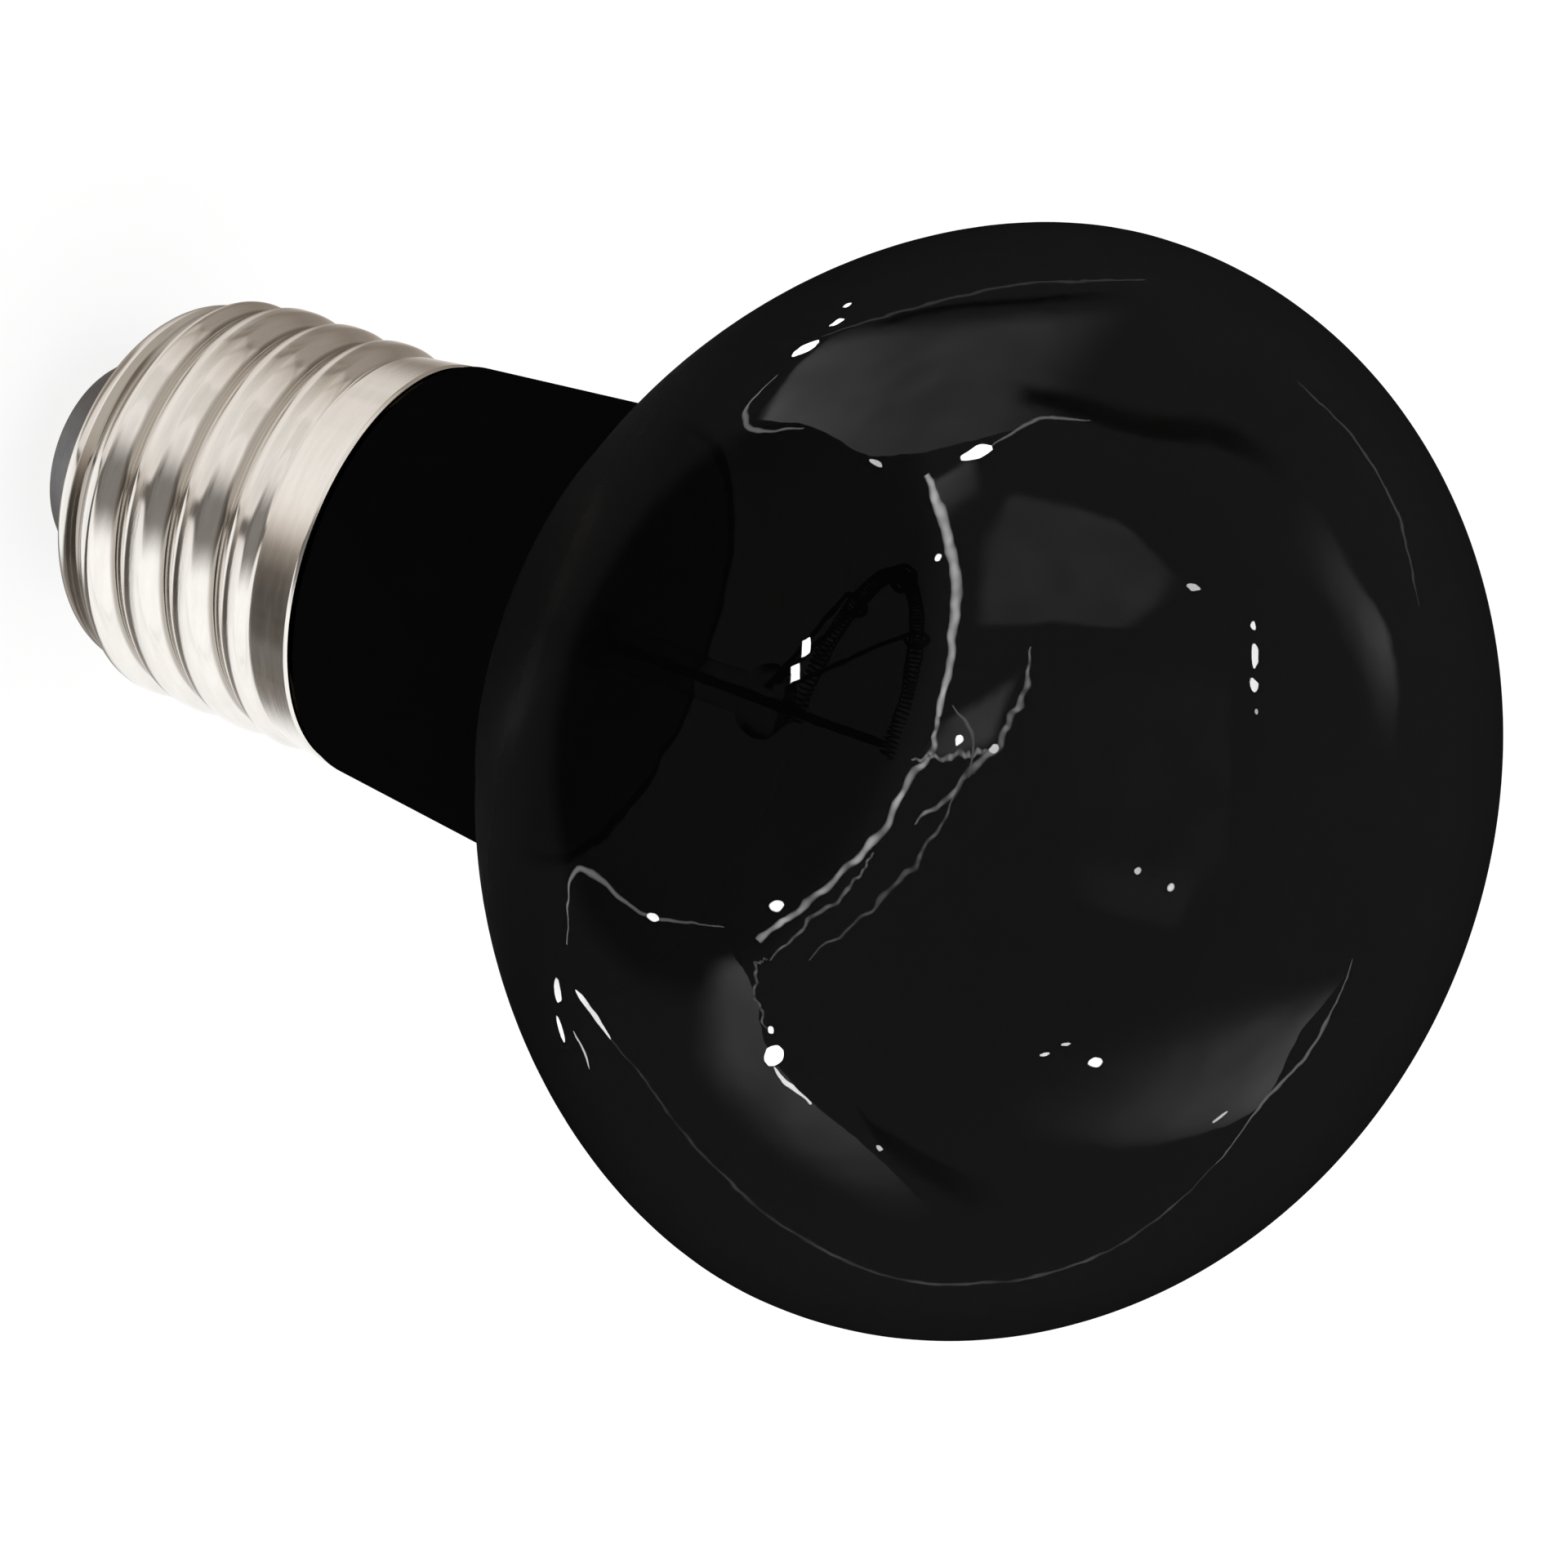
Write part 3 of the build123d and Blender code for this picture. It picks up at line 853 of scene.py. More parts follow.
@dataclass
class Mount:
    """The filament and the CAD pieces that carry it inside the bulb."""

    ring_radius: float = 9.5
    height: float = 30.0
    overhang: float = 4.0
    middle_angle: float = 180.0
    coil_radius: float = 0.44
    wire_radius: float = 0.06
    turns: int = 96
    steps_per_turn: int = 14
    wire_sides: int = 6

    def build(self) -> Object:
        """Makes the filament as the fine coil that it is.

        The path winds round an arc about the lamp's axis: at a share t of the way, the arc's angle grows
        evenly while the coil's own angle grows by a turn for each of its turns.

        Returns:
            The coil as one closed tube.
        """
        t = np.linspace(0, 1, self.turns * self.steps_per_turn + 1)
        half = math.radians(90 + self.overhang)
        arc = math.radians(self.middle_angle) - half + 2 * half * t
        spin = TURN * self.turns * t
        out = self.ring_radius + self.coil_radius * np.cos(spin)
        up = self.height + self.coil_radius * np.sin(spin)
        path = np.stack([out * np.cos(arc), out * np.sin(arc), up], axis=1)
        return make_piece("filament_winding", tube_along(path, self.wire_radius, self.wire_sides))

    def dress(self, coil: Object, materials: dict) -> None:
        """Gives the coil and the CAD nodes of stem, leads, supports, cement and side solder their finishes.

        Args:
            coil: The new filament.
            materials: Materials by slot.
        """
        settle(coil, materials[Slot.FILAMENT], "filament_coil")
        slots = {s["node"]: Slot(s["material_slot"]) for s in frame["record"]["subparts"]}
        for name, node in frame["nodes"].items():
            if not node.hide_render:
                node.data.materials.clear()
                node.data.materials.append(materials[slots[name]])
                LOG.info("dressed CAD node %s as %s", name, slots[name].value)


def settle(piece: Object, material: Material, node: str) -> None:
    """Gives a new piece its material, lets it ride, and hides the CAD node that it stands for.

    Args:
        piece: The new piece.
        material: Its material.
        node: The CAD node's name.
    """
    piece.data.materials.append(material)
    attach(piece, "root")
    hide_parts(node)
    LOG.info("piece %s stands for %s", piece.name, node)


# Studio

def sky(azimuth: np.ndarray, elevation: np.ndarray) -> np.ndarray:
    """Unit directions from degrees of azimuth, from +X towards +Y, and of elevation above the horizon."""
    a, e = np.radians(azimuth), np.radians(elevation)
    return np.stack([np.cos(e) * np.cos(a), np.cos(e) * np.sin(a), np.sin(e)], axis=-1)


def unit(vectors: np.ndarray) -> np.ndarray:
    """The vectors at length one."""
    return vectors / np.linalg.norm(vectors, axis=-1, keepdims=True)


def smooth_path(places: tuple, count: int) -> np.ndarray:
    """Points along a smooth line through given places in the photograph.

    Each stretch is a cubic through its two ends that heeds the places before and after, after Catmull
    and Rom.

    Args:
        places: (x, y) places in pixels.
        count: Number of points.

    Returns:
        Array of shape (count, 2).
    """
    spots = np.array(places, float)
    padded = np.concatenate([2 * spots[:1] - spots[1:2], spots, 2 * spots[-1:] - spots[-2:-1]])
    along = np.linspace(0, len(spots) - 1, count)
    first = np.minimum(along.astype(int), len(spots) - 2)
    t = (along - first)[:, None]
    a, b, c, d = (padded[first + i] for i in range(4))
    return 0.5 * (2 * b + (c - a) * t + (2 * a - 5 * b + 4 * c - d) * t**2 + (3 * b - a - 3 * c + d) * t**3)


@dataclass(frozen=True)
class Mirror:
    """The head's outer glass as a mirror that the camera looks into.

    Attributes:
        outline: Half section of the glass from the neck to the front pole, (radius, height) in millimetres.
        eye: The camera's place in millimetres.
        right: Direction of the picture's right side.
        down: Direction of the picture's lower side.
        focal: Focal length in pixels of the photograph.
        reach: Distances from the camera, in millimetres, between which the glass is looked for.
        steps: Number of distances tried.
    """

    outline: np.ndarray
    eye: np.ndarray
    right: np.ndarray
    down: np.ndarray
    focal: float
    reach: tuple = (90.0, 180.0)
    steps: int = 3600

    def ways(self, places: np.ndarray) -> np.ndarray:
        """Directions that the glass reflects at places in the photograph.

        A ray runs from the camera through a place. It meets the glass where its distance from the axis
        first falls below the outline's radius at its height, or else where it comes nearest. The
        reflected direction is the ray less twice its share along the glass's normal.

        Args:
            places: (x, y) places in pixels.

        Returns:
            Unit directions of shape (n, 3).
        """
        across, drop = ((places - PHOTO_SIZE / 2) / self.focal).T[..., None]
        rays = unit(np.cross(self.right, self.down) + across * self.right + drop * self.down)
        points = self.eye + np.linspace(*self.reach, self.steps)[:, None] * rays[:, None]
        radius, height = self.outline.T
        gap = np.hypot(points[..., 0], points[..., 1]) - np.interp(points[..., 2], height, radius, right=0)
        met = np.where((gap < 0).any(axis=1), (gap < 0).argmax(axis=1), gap.argmin(axis=1))
        spot = points[np.arange(len(rays)), met]
        outward, upward = unit(np.gradient(self.outline, axis=0) * [-1, 1]).T[::-1]
        lean, rise = (np.interp(spot[:, 2], height, share) for share in (outward, upward))
        normal = unit(np.column_stack([unit(spot[:, :2]) * lean[:, None], rise]))
        return rays - 2 * np.sum(rays * normal, axis=1, keepdims=True) * normal


@dataclass(frozen=True)
class Card:
    """A soft light card, or a dark one, that the glass reflects.

    Attributes:
        name: Name of the card.
        near: Places in the photograph, in pixels, where the glass mirrors one edge.
        far: Places of the opposite edge, in the same order.
        glow: Brightness at near start, near end, far end and far start.
        fade: Shares of the card over which it fades out at its near edge, end, far edge and start.
        distance: Distance from the head's middle in millimetres.
        grid: Points along its edges and from edge to edge.
    """

    name: str
    near: tuple
    far: tuple
    glow: tuple
    fade: tuple = (0.15, 0.15, 0.15, 0.15)
    distance: float = 2000.0
    grid: tuple = (61, 31)

    def sheet(self, mirror: Mirror) -> tuple[np.ndarray, np.ndarray, np.ndarray]:
        """Directions, brightness and cover on a grid.

        With s along the edges and t from the near to the far one, a direction lies on the line between
        the edges' points at s, and the brightness is the mean of the four corners weighed by (1-s)(1-t),
        s(1-t), st and (1-s)t.

        Args:
            mirror: The glass that shows the card.

        Returns:
            Directions of shape (n, m, 3), and brightness and cover of shape (n, m).
        """
        rows, columns = self.grid
        s, t = np.linspace(0, 1, rows)[:, None], np.linspace(0, 1, columns)[None]
        near, far = (mirror.ways(smooth_path(edge, rows))[:, None] for edge in (self.near, self.far))
        a, b, c, d = self.glow
        shine = a * (1 - s) * (1 - t) + b * s * (1 - t) + c * s * t + d * (1 - s) * t
        first, end, last, start = self.fade
        cover = ease(t, first) * ease(1 - s, end) * ease(1 - t, last) * ease(s, start)
        return unit(near * (1 - t[..., None]) + far * t[..., None]), shine, cover


@dataclass(frozen=True)
class Strip:
    """A narrow light strip that the glass reflects as a line, or as a glint if it is short.

    Attributes:
        name: Name of the strip.
        path: Places in the photograph, in pixels, where the glass mirrors it.
        width: Width in degrees at its middle.
        glow: Brightness.
        taper: Share of its width left at its ends.
        soft: True where it fades towards its sides.
        wobble: How far it strays from its path, in degrees, and by which share its brightness varies.
        distance: Distance from the head's middle in millimetres.
        grid: Points along it for each place, and points across it.
        stray: Waves of its path, as height, count and lead.
        flicker: Waves of its brightness.
    """

    name: str
    path: tuple
    width: float
    glow: float
    taper: float = 0.3
    soft: bool = False
    wobble: float = 0.0
    distance: float = 1900.0
    grid: tuple = (24, 9)
    stray: tuple = ((0.6, 1.7, 1.0), (0.4, 4.3, 0.0))
    flicker: tuple = ((1.0, 5.3, 2.0), (1.0, 2.1, 0.0))

    def sheet(self, mirror: Mirror) -> tuple[np.ndarray, np.ndarray, np.ndarray]:
        """Directions, brightness and cover on a long grid.

        The rows lie across a smooth line, up to half the width to either side of it, and the width
        shrinks to its taper at both ends. The line strays by two sine waves of unlike length. A soft
        strip's cover is one minus the squared share of the way to its side. Its brightness varies by the
        product of two more sine waves.

        Args:
            mirror: The glass that shows the strip.

        Returns:
            Directions of shape (n, m, 3), and brightness and cover of shape (n, m).
        """
        rows, columns = self.grid
        line = mirror.ways(smooth_path(self.path, rows * len(self.path)))
        side = unit(np.cross(line, np.gradient(line, axis=0)))
        along = np.linspace(-1, 1, len(line))[:, None]
        line = unit(line + math.radians(self.wobble) * sum(waves(TURN * along, self.stray)) * side)
        across = np.linspace(-1, 1, columns)[None]
        half = math.radians(self.width) / 2 * (1 - (1 - self.taper) * along**2)
        ways = unit(line[:, None] + (half * across)[..., None] * side[:, None])
        cover = (1 - across**2 if self.soft else 1 + 0 * across) + 0 * along
        flicker = 1 + self.wobble * math.prod(waves(TURN * along, self.flicker))
        return ways, self.glow * flicker + 0 * across, cover


@dataclass
class Studio:
    """Floor, world, the cards that the glass reflects, the dome that the cap reflects, and the camera.

    Attributes:
        dome_edge: Elevations in degrees between which the dome's low part gives way to its high one.
        dome_foot: Elevations between which the high part comes back further down.
        band_way: Azimuth in degrees of the dome's dark band.
        band_width: Half widths of the band in degrees, at its foot and at its top.
        band_rise: Degrees of elevation over which it widens.
        band_clear: Share of its half width that is fully dark.
        mirror_foot: Height in millimetres above which the glass mirrors the cards.
        white: Brightness of the world and the floor to the camera.
        shadow: Share of the haze that is left on its darker side.
        shadow_way: Azimuth and elevation of that side.
        shadow_edge: Leans towards it between which the haze darkens.
        cloud_span: Noise values between which a card's brightness varies.
        cloud_levels: Lowest and highest share of that brightness.
    """

    floor_level: float = -24.85
    floor_radius: float = 8000.0
    floor_lift: float = 0.02
    segments: int = 96
    dome_radius: float = 1500.0
    dome_steps: int = 49
    dome_strength: float = 2.0
    dome_edge: tuple = (-38.0, -33.0)
    dome_foot: tuple = (-64.0, -56.0)
    band_way: float = -80.0
    band_width: tuple = (8.0, 34.0)
    band_rise: float = 42.0
    band_clear: float = 0.3
    band_colour: tuple = (0.055, 0.048, 0.042)
    aim_height: float = 39.0
    mirror_foot: float = 1.0
    cloud_scale: float = 3.0
    cloud_span: tuple = (0.3, 0.7)
    cloud_levels: tuple = (0.85, 1.15)
    lens: float = 55.269
    clip: tuple = (0.005, 20.0)
    camera_place: tuple = (0.0, -133.611, 73.140)
    camera_right: tuple = (-0.348102, 0.312275, 0.883917)
    camera_down: tuple = (0.936989, 0.086116, 0.338579)
    white: float = 1.05
    floor_shade: float = 0.25
    shadow: float = 0.3
    shadow_way: tuple = (-90.0, -50.0)
    shadow_edge: tuple = (0.60, 0.68)

    def build_camera(self) -> None:
        """Makes the camera where the photograph was taken from, rolled as it was."""
        camera = bpy.data.objects.new("camera", bpy.data.cameras.new("camera"))
        right, down = Vector(self.camera_right).normalized(), Vector(self.camera_down).normalized()
        back = right.cross(-down)
        turn = Matrix((right, -down, back)).transposed().to_4x4()
        camera.matrix_world = Matrix.Translation(Vector(self.camera_place) * MM) @ turn
        camera.data.lens = self.lens
        camera.data.sensor_width = SENSOR
        camera.data.clip_start, camera.data.clip_end = self.clip
        bpy.context.scene.collection.objects.link(camera)
        bpy.context.scene.camera = camera

    def build_floor(self) -> None:
        """Makes the pale floor: a round sheet, mostly lit by itself, that reflections don't show."""
        rim = self.floor_radius
        outline = np.array([[0.0, 0.0], [rim, 0.0], [rim, -1.0], [0.0, -1.0]])
        points, faces = turned_skin(outline, self.segments)
        points[:, 2] += self.floor_level
        floor = make_piece("floor", (points, faces))
        material = new_material("floor")
        tree = material.node_tree
        skin = tree.nodes["Principled BSDF"]
        for label, value in (("Base Color", (*[self.floor_shade] * 3, 1.0)), ("Roughness", 1.0),
                             ("Specular IOR Level", 0.0), ("Emission Color", (1, 1, 1, 1))):
            skin.inputs[label].default_value = value
        path = add_node(tree, "ShaderNodeLightPath")
        glow = add_range(tree, levels=(self.white * (1 - self.floor_shade) + self.floor_lift, 0.0))
        wire(tree, (path, "Glossy Depth", glow, "Value"), (glow, 0, skin, "Emission Strength"))
        floor.data.materials.append(material)
        floor.visible_glossy = False

    def build_world(self) -> None:
        """Makes a white world that reflections, inside the glass too, see as a haze.

        The haze fades away from the camera, by as much as glass reflects more there, and is darker on the
        side of the camera's feet.
        """
        world = bpy.data.worlds.new("studio")
        world.use_nodes = True
        tree = world.node_tree
        shade = tree.nodes["Background"]
        path = add_node(tree, "ShaderNodeLightPath")
        place = add_node(tree, "ShaderNodeTexCoord")
        away = np.cross(self.camera_right, self.camera_down)
        fade = self.add_ramp(tree, HAZE)
        reach = self.add_side(tree, place, -away, (-1.0, 1.0), (0.0, 1.0))
        dim = self.add_side(tree, place, sky(*self.shadow_way), self.shadow_edge, (1.0, self.shadow))
        haze, seen = add_mix(tree), add_mix(tree, A=(self.white,) * 3)
        haze.blend_type = "MULTIPLY"
        haze.inputs["Factor"].default_value = 1.0
        wire(tree, (reach, 0, fade, 0), (fade, 0, haze, "A"), (dim, 0, haze, "B"),
             (haze, "Result", seen, "B"), (path, "Glossy Depth", seen, "Factor"),
             (seen, "Result", shade, "Color"))
        bpy.context.scene.world = world

    def add_side(self, tree: NodeTree, place: Node, way: np.ndarray, edge: tuple, levels: tuple) -> Node:
        """A value that changes with how far a direction of the world leans a given way.

        Args:
            tree: The world's node tree.
            place: Its Texture Coordinate node.
            way: The given way, of length one.
            edge: Leans between which the value changes.
            levels: The value below and above that.

        Returns:
            The node that gives the value.
        """
        side = add_node(tree, "ShaderNodeVectorMath", operation="DOT_PRODUCT")
        side.inputs[1].default_value = way
        level = add_range(tree, edge, levels)
        wire(tree, (place, "Generated", side, 0), (side, "Value", level, "Value"))
        return level

    def hang(self, name: str, skin: tuple[np.ndarray, list], material: Material,
             receivers: Collection) -> Object:
        """Adds a light-giving sheet that only reflections on the given pieces show.

        Args:
            name: Name of the sheet.
            skin: Its points and faces.
            material: Its light.
            receivers: The pieces that reflect it.

        Returns:
            The sheet.
        """
        sheet = make_piece(name, skin)
        sheet.data.materials.append(material)
        sheet.visible_camera = sheet.visible_diffuse = False
        sheet.visible_transmission = sheet.visible_shadow = False
        sheet.light_linking.receiver_collection = receivers
        return sheet

    def mirror(self, outline: np.ndarray) -> Mirror:
        """The glass of the given outline, in (radius, height), as this camera's mirror."""
        head = outline[outline[:, 1] > self.mirror_foot]
        eye, right, down = map(np.array, (self.camera_place, self.camera_right, self.camera_down))
        return Mirror(head, eye, right, down, self.lens / SENSOR * PHOTO_SIZE)

    def card_light(self) -> Material:
        """The cards' light: each point's own glow, made a little uneven, seen as far as its cover goes."""
        material = new_light("card_light")
        tree = material.node_tree
        glow = add_node(tree, "ShaderNodeAttribute", attribute_name="glow")
        cover = add_node(tree, "ShaderNodeAttribute", attribute_name="cover")
        place = add_node(tree, "ShaderNodeTexCoord")
        cloud = add_node(tree, "ShaderNodeTexNoise", Scale=self.cloud_scale, Detail=1.0)
        uneven = add_range(tree, self.cloud_span, self.cloud_levels)
        shine = add_math(tree, "MULTIPLY")
        light = add_node(tree, "ShaderNodeEmission")
        through = add_node(tree, "ShaderNodeBsdfTransparent")
        total = add_node(tree, "ShaderNodeMixShader")
        wire(tree, (place, "Object", cloud, "Vector"), (cloud, 0, uneven, "Value"), (glow, "Fac", shine, 0),
             (uneven, 0, shine, 1), (shine, 0, light, "Strength"), (cover, "Fac", total, "Fac"),
             (through, 0, total, 1), (light, 0, total, 2),
             (total, 0, tree.nodes["Material Output"], "Surface"))
        return material

    def build_cards(self, lights: tuple, mirror: Mirror, receivers: Collection) -> None:
        """Hangs the cards and strips on a ball round the head.

        Args:
            lights: Cards and strips.
            mirror: The glass that shows them.
            receivers: The pieces that reflect them.
        """
        material = self.card_light()
        middle = np.array([0.0, 0.0, self.aim_height])
        for number, card in enumerate(lights):
            ways, shine, cover = card.sheet(mirror)
            index = np.arange(shine.size).reshape(shine.shape)
            faces = np.stack([index[:-1, :-1], index[1:, :-1], index[1:, 1:], index[:-1, 1:]], axis=-1)
            points = middle + (card.distance - number) * ways.reshape(-1, 3)
            sheet = self.hang(card.name, (points, faces.reshape(-1, 4).tolist()), material, receivers)
            for label, values in (("glow", shine), ("cover", cover)):
                sheet.data.attributes.new(label, "FLOAT", "POINT").data.foreach_set("value", values.ravel())

    def dome_light(self) -> Material:
        """The dome's light: warm grey on one side, dark between, white on the other.

        The dark band of its high part gets wider with height, so that it runs to points on the thread's
        flanks.

        Returns:
            The new material.
        """
        material = new_light("dome_light")
        tree = material.node_tree
        place = add_node(tree, "ShaderNodeTexCoord")
        parts = add_node(tree, "ShaderNodeSeparateXYZ")
        turn = add_math(tree, "ARCTAN2")
        round_way = add_range(tree, (-math.pi, math.pi))
        low, high = self.add_ramp(tree, DOME_LOW), self.add_ramp(tree, DOME_HIGH)
        rise = self.add_level(tree, parts, self.dome_edge, (0.0, 1.0))
        foot = self.add_level(tree, parts, self.dome_foot, (1.0, 0.0))
        broad = self.add_level(tree, parts, (self.dome_edge[1], self.dome_edge[1] + self.band_rise),
                               tuple(width / 360 for width in self.band_width))
        upper = add_math(tree, "MAXIMUM")
        aside = add_math(tree, "SUBTRACT", (self.band_way + 180) / 360)
        apart, share = add_math(tree, "ABSOLUTE"), add_math(tree, "DIVIDE")
        clear = add_range(tree, (self.band_clear, 1.0), smooth=True)
        banded, both = add_mix(tree, A=self.band_colour), add_mix(tree)
        light = add_node(tree, "ShaderNodeEmission", Strength=self.dome_strength)
        through = add_node(tree, "ShaderNodeBsdfTransparent")
        total = add_node(tree, "ShaderNodeAddShader")
        wire(tree, (place, "Object", parts, 0), (parts, "Y", turn, 0), (parts, "X", turn, 1),
             (turn, 0, round_way, "Value"), (round_way, 0, low, 0), (round_way, 0, high, 0),
             (round_way, 0, aside, 0), (aside, 0, apart, 0), (apart, 0, share, 0), (broad, 0, share, 1),
             (share, 0, clear, "Value"), (clear, 0, banded, "Factor"), (high, 0, banded, "B"),
             (rise, 0, upper, 0), (foot, 0, upper, 1), (upper, 0, both, "Factor"), (low, 0, both, "A"),
             (banded, "Result", both, "B"), (both, "Result", light, "Color"), (light, 0, total, 0),
             (through, 0, total, 1), (total, 0, tree.nodes["Material Output"], "Surface"))
        return material

    def build_dome(self, receivers: Collection) -> None:
        """Makes the dome that the cap reflects.

        Args:
            receivers: The cap's pieces.
        """
        lean = np.linspace(0, math.pi, self.dome_steps)
        outline = self.dome_radius * np.stack([np.sin(lean).round(9), -np.cos(lean)], axis=1)
        self.hang("cap_dome", turned_skin(outline, self.segments), self.dome_light(), receivers)

    def add_level(self, tree: NodeTree, parts: Node, edge: tuple, levels: tuple) -> Node:
        """A value that changes smoothly between two elevations on the dome.

        Args:
            tree: The dome's node tree.
            parts: The node that splits a place on the dome.
            edge: Elevations in degrees between which the value changes.
            levels: The value below and above them.

        Returns:
            The node that gives the value.
        """
        low, high = (math.sin(math.radians(way)) * self.dome_radius * MM for way in edge)
        level = add_range(tree, (low, high), levels, smooth=True)
        wire(tree, (parts, "Z", level, "Value"))
        return level

    def add_ramp(self, tree: NodeTree, stops: tuple) -> Node:
        """A colour ramp with the given stops.

        Args:
            tree: The node tree.
            stops: Pairs of place from 0 to 1 and linear colour.

        Returns:
            The ramp node.
        """
        node = add_node(tree, "ShaderNodeValToRGB")
        ramp = node.color_ramp
        while len(ramp.elements) < len(stops):
            ramp.elements.new(0.5)
        for element, (place, colour) in zip(ramp.elements, stops):
            element.position = place
            element.color = (*colour, 1.0)
        return node


def round_stop(azimuth: float, level: float, warmth: float = 0.0) -> tuple:
    """A dome stop at an azimuth: half the light level, with red raised and blue lowered by the warmth."""
    half = level / 2
    return (azimuth + 180) / 360, (half * (1 + warmth), half, half * (1 - warmth))


HAZE = tuple((place, (level,) * 3)
             for place, level in ((0.02, 0.006), (0.09, 0.018), (0.25, 0.05), (0.6, 0.12)))
DOME_LOW = (
    round_stop(-180, 0.82, 0.05), round_stop(-120, 0.92, 0.03), round_stop(-105, 0.90, 0.04),
    round_stop(-95, 0.80, 0.06), round_stop(-85, 0.56, 0.10), round_stop(-74, 0.24, 0.15),
    round_stop(-60, 0.08, 0.20), round_stop(-45, 0.05, 0.20), round_stop(0, 0.08, 0.18),
    round_stop(30, 0.18, 0.12), round_stop(45, 0.35, 0.08), round_stop(60, 0.28, 0.08),
    round_stop(90, 0.20, 0.12), round_stop(120, 0.32, 0.12), round_stop(140, 0.55, 0.08),
    round_stop(165, 0.74, 0.05),
)
DOME_HIGH = (
    round_stop(-180, 0.36, 0.14), round_stop(-165, 0.56, 0.09), round_stop(-150, 0.74, 0.05),
    round_stop(-120, 0.80, 0.03), round_stop(-100, 0.78, 0.04), round_stop(-80, 0.80, 0.04),
    round_stop(-64, 0.98, 0.02), round_stop(-50, 1.04), round_stop(60, 1.04), round_stop(80, 1.0),
    round_stop(100, 0.75, 0.03), round_stop(115, 0.40, 0.12), round_stop(128, 0.24, 0.16),
    round_stop(142, 0.18, 0.20), round_stop(158, 0.22, 0.18),
)
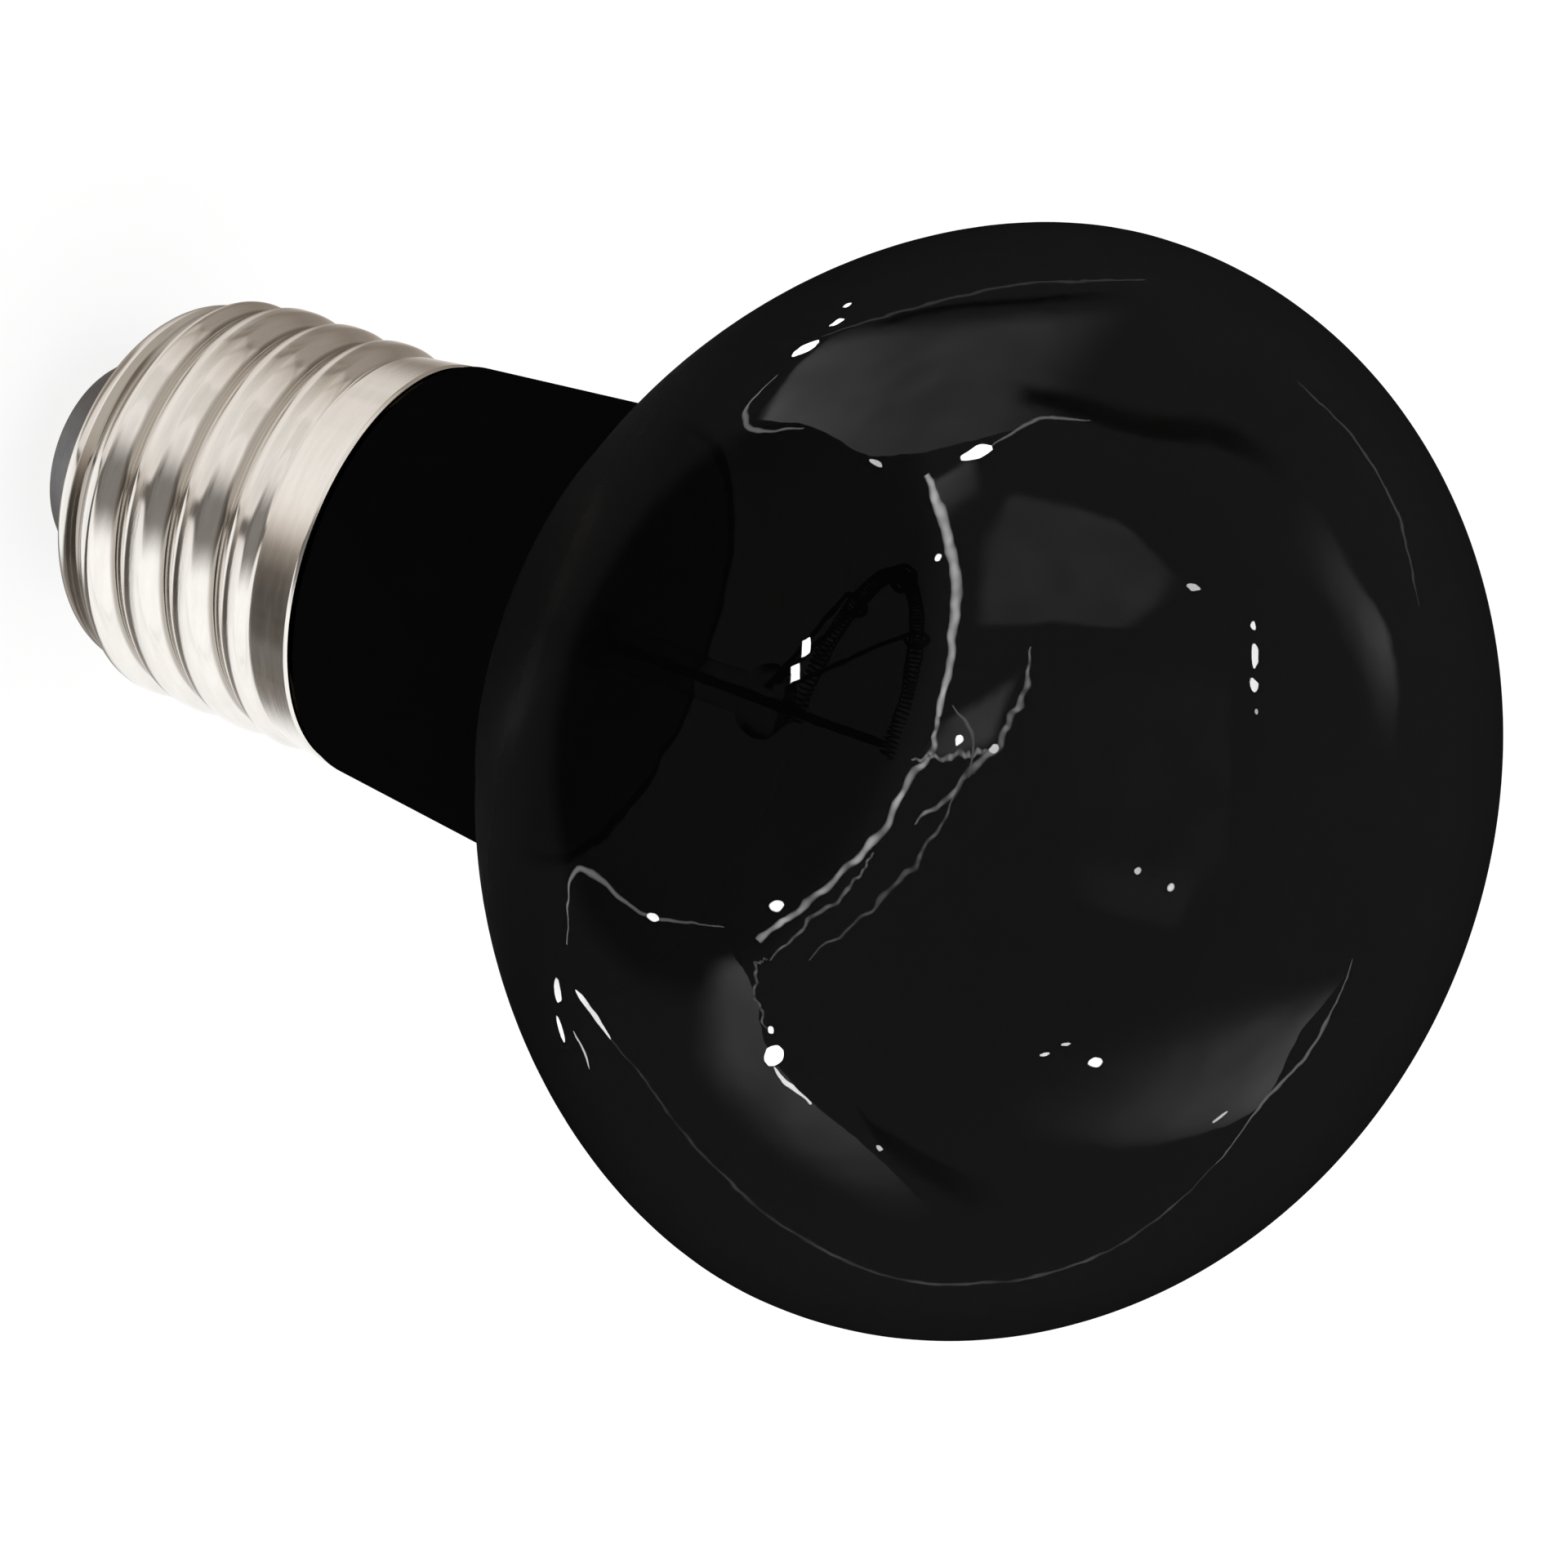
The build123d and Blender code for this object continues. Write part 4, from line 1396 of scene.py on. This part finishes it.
LIGHTS = (
    Card("faint_box", ((1270, 800), (1290, 1120)), ((1505, 800), (1500, 1100)), (0.15,) * 4,
         (0.3, 0.2, 0.0, 0.2)),
    Card("top_card", ((930, 515), (1000, 527), (1070, 560), (1180, 545), (1330, 500)),
         ((985, 440), (1040, 404), (1144, 390), (1257, 380), (1400, 372)), (0.90, 0.42, 0.30, 0.36),
         (0.0, 0.2, 0.2, 0.05)),
    Card("softbox", ((1230, 600), (1195, 680), (1191, 775)), ((1390, 650), (1446, 716), (1390, 775)),
         (0.46,) * 4, (0.1, 0.05, 0.15, 0.1)),
    Card("low_card", ((1290, 1050), (1300, 1105)), ((1480, 1045), (1446, 1141)), (0.22,) * 4,
         (0.5, 0.15, 0.1, 0.4)),
    Card("right_card", ((1651, 1185), (1591, 1262), (1547, 1347), (1487, 1380)),
         ((1480, 1205), (1330, 1262), (1200, 1310), (1171, 1369)), (0.60, 0.85, 0.20, 0.14),
         (0.0, 0.5, 0.7, 0.3)),
    Card("left_card", ((895, 1162), (925, 1216), (942, 1282), (996, 1347), (1073, 1413), (1149, 1489)),
         ((865, 1170), (845, 1240), (845, 1310), (910, 1390), (1010, 1460), (1120, 1525)),
         (1.15, 0.55, 0.12, 0.80), (0.0, 0.3, 0.8, 0.1)),
    Card("edge_glow", ((1600, 590), (1660, 700), (1700, 770), (1712, 850), (1708, 930)),
         ((1530, 650), (1600, 725), (1640, 790), (1662, 860), (1668, 935)), (0.85, 0.60, 0.45, 0.75),
         (0.2, 0.6, 0.7, 0.6)),
    Card("dark_swirl", ((1225, 460), (1300, 475), (1405, 500), (1500, 510), (1600, 570)),
         ((1225, 500), (1300, 515), (1400, 545), (1500, 560), (1590, 620)), (0.0,) * 4,
         (0.5, 0.3, 0.3, 0.15)),
    Card("crown_fold", ((1060, 395), (1140, 375), (1260, 362), (1405, 352)),
         ((1060, 410), (1145, 390), (1260, 380), (1400, 370)), (0.0,) * 4, (0.5, 0.3, 0.5, 0.2)),
    Card("dark_fold", ((1030, 1325), (1075, 1370), (1160, 1420), (1236, 1450)),
         ((1080, 1410), (1120, 1440), (1180, 1480), (1236, 1490)), (0.03,) * 4, (0.2, 0.5, 0.5, 0.2)),
    Card("knot_veil", ((1150, 880), (1200, 850), (1255, 810)), ((1120, 930), (1170, 930), (1220, 915)),
         (0.8, 0.9, 1.2, 0.6), (0.3, 0.2, 0.2, 0.3)),
    Card("arc_veil", ((1138, 585), (1160, 655)), ((1196, 556), (1214, 615)), (1.2, 0.2, 0.1, 0.8),
         (0.0, 0.5, 0.3, 0.2)),
    Strip("long_arc", ((1134, 584), (1158, 650), (1170, 716), (1167, 792), (1148, 877)), 2.6, 10.0, 0.5, True,
          0.2),
    Strip("low_arc", ((1148, 877), (1144, 915), (1110, 962), (1063, 1037), (1002, 1094), (931, 1151)),
          1.8, 7.0, 0.7, True, 0.6),
    Strip("strand_right", ((1262, 792), (1250, 858), (1224, 905), (1172, 962), (1120, 1009)), 1.8, 3.5, 0.3,
          True, 0.6),
    Strip("strand_second", ((1181, 952), (1140, 1030), (1096, 1085), (992, 1175)), 1.1, 1.6, 0.4, True, 0.5),
    Strip("strand_third", ((1072, 1043), (1050, 1075), (1000, 1120), (945, 1175)), 1.1, 2.5, 0.4, True, 0.5),
    Strip("knot_cross", ((1115, 929), (1170, 925), (1219, 919)), 1.4, 4.5, 0.3, True, 0.6),
    Strip("knot_back", ((1164, 865), (1190, 898), (1187, 950)), 1.0, 2.5, 0.3, True),
    Strip("tip_line", ((955, 461), (917, 499), (928, 527), (985, 527)), 0.9, 2.0, 0.3, True),
    Strip("blob_tail", ((1210, 550), (1267, 519), (1333, 517)), 1.0, 3.0, 0.2, True),
    Strip("crown_line", ((1005, 415), (1100, 385), (1250, 350), (1400, 345)), 1.2, 0.3, 0.4, True),
    Strip("outer_line", ((1588, 470), (1654, 536), (1701, 612), (1722, 678), (1735, 744)), 1.2, 0.35, 0.3,
          True),
    Strip("foot_line", ((696, 1156), (702, 1080), (724, 1069), (767, 1102), (802, 1121), (887, 1134)), 1.2,
          2.4, 0.2, True),
    Strip("low_curve", ((751, 1271), (789, 1314), (833, 1380), (920, 1467), (1018, 1533), (1105, 1565),
                        (1214, 1568), (1324, 1544), (1411, 1494), (1487, 1424)), 1.4, 0.35, 0.4, True, 0.5),
    Strip("right_line", ((1487, 1424), (1547, 1347), (1596, 1293), (1635, 1227), (1656, 1173)), 1.1, 1.5, 0.3,
          True),
    Strip("left_edge", ((942, 1174), (930, 1180), (925, 1216), (940, 1258)), 0.9, 2.0, 0.4, True, 0.6),
    Strip("streak_low", ((707, 1211), (729, 1241), (751, 1271)), 1.6, 11.0),
    Strip("streak_low_end", ((685, 1200), (685, 1225)), 1.5, 8.0),
    Strip("streak_low_side", ((686, 1245), (692, 1275)), 1.6, 7.0),
    Strip("streak_low_thin", ((705, 1262), (716, 1285), (724, 1310)), 0.9, 4.0),
    Strip("left_tail", ((951, 1303), (961, 1321), (975, 1330), (996, 1349)), 1.2, 20.0),
    Strip("glint_top", ((1175, 565), (1196, 557), (1215, 550)), 3.2, 45.0),
    Strip("glint_left", ((940, 1298), (949, 1289), (958, 1280)), 3.4, 45.0, 0.4),
    Strip("glint_left_up", ((943, 1254), (946, 1264)), 1.6, 30.0),
    Strip("glint_left_dot", ((1074, 1402), (1081, 1405)), 1.2, 16.0),
    Strip("glint_crown", ((978, 430), (988, 428), (1000, 425)), 2.6, 22.0),
    Strip("glint_crown_mid", ((1020, 400), (1034, 392)), 1.8, 18.0),
    Strip("glint_crown_end", ((1036, 376), (1045, 372)), 1.3, 14.0),
    Strip("glint_edge", ((1066, 565), (1080, 575)), 1.1, 14.0),
    Strip("window_upper", ((990, 785), (990, 804)), 2.2, 40.0, 1.0),
    Strip("window_lower", ((977, 816), (977, 837)), 2.2, 40.0, 1.0),
    Strip("glint_arc", ((1149, 685), (1151, 692)), 1.4, 30.0),
    Strip("glint_knot", ((1168, 906), (1176, 910)), 1.8, 35.0),
    Strip("glint_knot_end", ((1211, 919), (1219, 915)), 1.6, 20.0),
    Strip("glint_bend", ((945, 1110), (960, 1106)), 1.6, 30.0),
    Strip("glint_foot", ((795, 1120), (809, 1122)), 1.7, 26.0),
    Strip("front_first", ((1531, 760), (1531, 772)), 1.4, 24.0),
    Strip("front_long", ((1532, 788), (1535, 818)), 1.3, 22.0),
    Strip("front_third", ((1532, 830), (1534, 845)), 1.6, 24.0),
    Strip("front_last", ((1534, 868), (1535, 874)), 1.0, 12.0),
    Strip("glint_box", ((1452, 720), (1468, 726)), 1.0, 14.0),
    Strip("glint_low", ((1331, 1299), (1342, 1299)), 1.7, 35.0),
    Strip("glint_low_mid", ((1298, 1277), (1312, 1274)), 1.0, 18.0),
    Strip("glint_low_side", ((1270, 1290), (1284, 1286)), 1.0, 20.0),
    Strip("glint_mid", ((1429, 1085), (1436, 1085)), 1.2, 20.0),
    Strip("glint_mid_side", ((1386, 1066), (1393, 1067)), 1.1, 16.0),
    Strip("glint_right", ((1483, 1372), (1500, 1360)), 1.0, 9.0),
)


def gather(name: str, pieces: Iterable) -> Collection:
    """A collection of the pieces that a light is meant for."""
    group = bpy.data.collections.new(name)
    for piece in pieces:
        group.objects.link(piece)
    return group


def main() -> None:
    """Builds, dresses and lights the lamp."""
    logging.basicConfig(level=logging.INFO, format="%(name)s: %(message)s")
    bpy.context.scene.view_settings.view_transform = "Standard"
    groups = ShaderGroups()
    finishes = (DARK_GLASS, STEM_GLASS, NICKEL, BLACK_INSULATOR, CONTACT, SOLDER, CEMENT, LEAD_WIRE, FILAMENT,
                SUPPORT_WIRE)
    materials = {finish.slot: finish.build(groups) for finish in finishes}
    bulb = Bulb()
    head = bulb.build()
    bulb.dress(head, materials[Slot.DARK_GLASS], NECK_COAT.build(groups), NECK_LINING.build(groups))
    cap = ScrewCap()
    cap_pieces = {"cap_shell": cap.build_shell(), "cap_insulator": cap.build_insulator(),
                  "cap_contact": cap.build_contact(), "contact_solder": cap.build_solder()}
    cap.dress(cap_pieces, materials)
    mount = Mount()
    mount.dress(mount.build(), materials)
    studio = Studio()
    studio.build_camera()
    studio.build_floor()
    studio.build_world()
    mirror = studio.mirror(bulb.outline(0.0, bulb.tail_radius))
    studio.build_cards(LIGHTS, mirror, gather("head_pieces", [head]))
    studio.build_dome(gather("cap_pieces", [*cap_pieces.values(), frame["nodes"]["side_solder"]]))


if __name__ == "__main__":
    main()
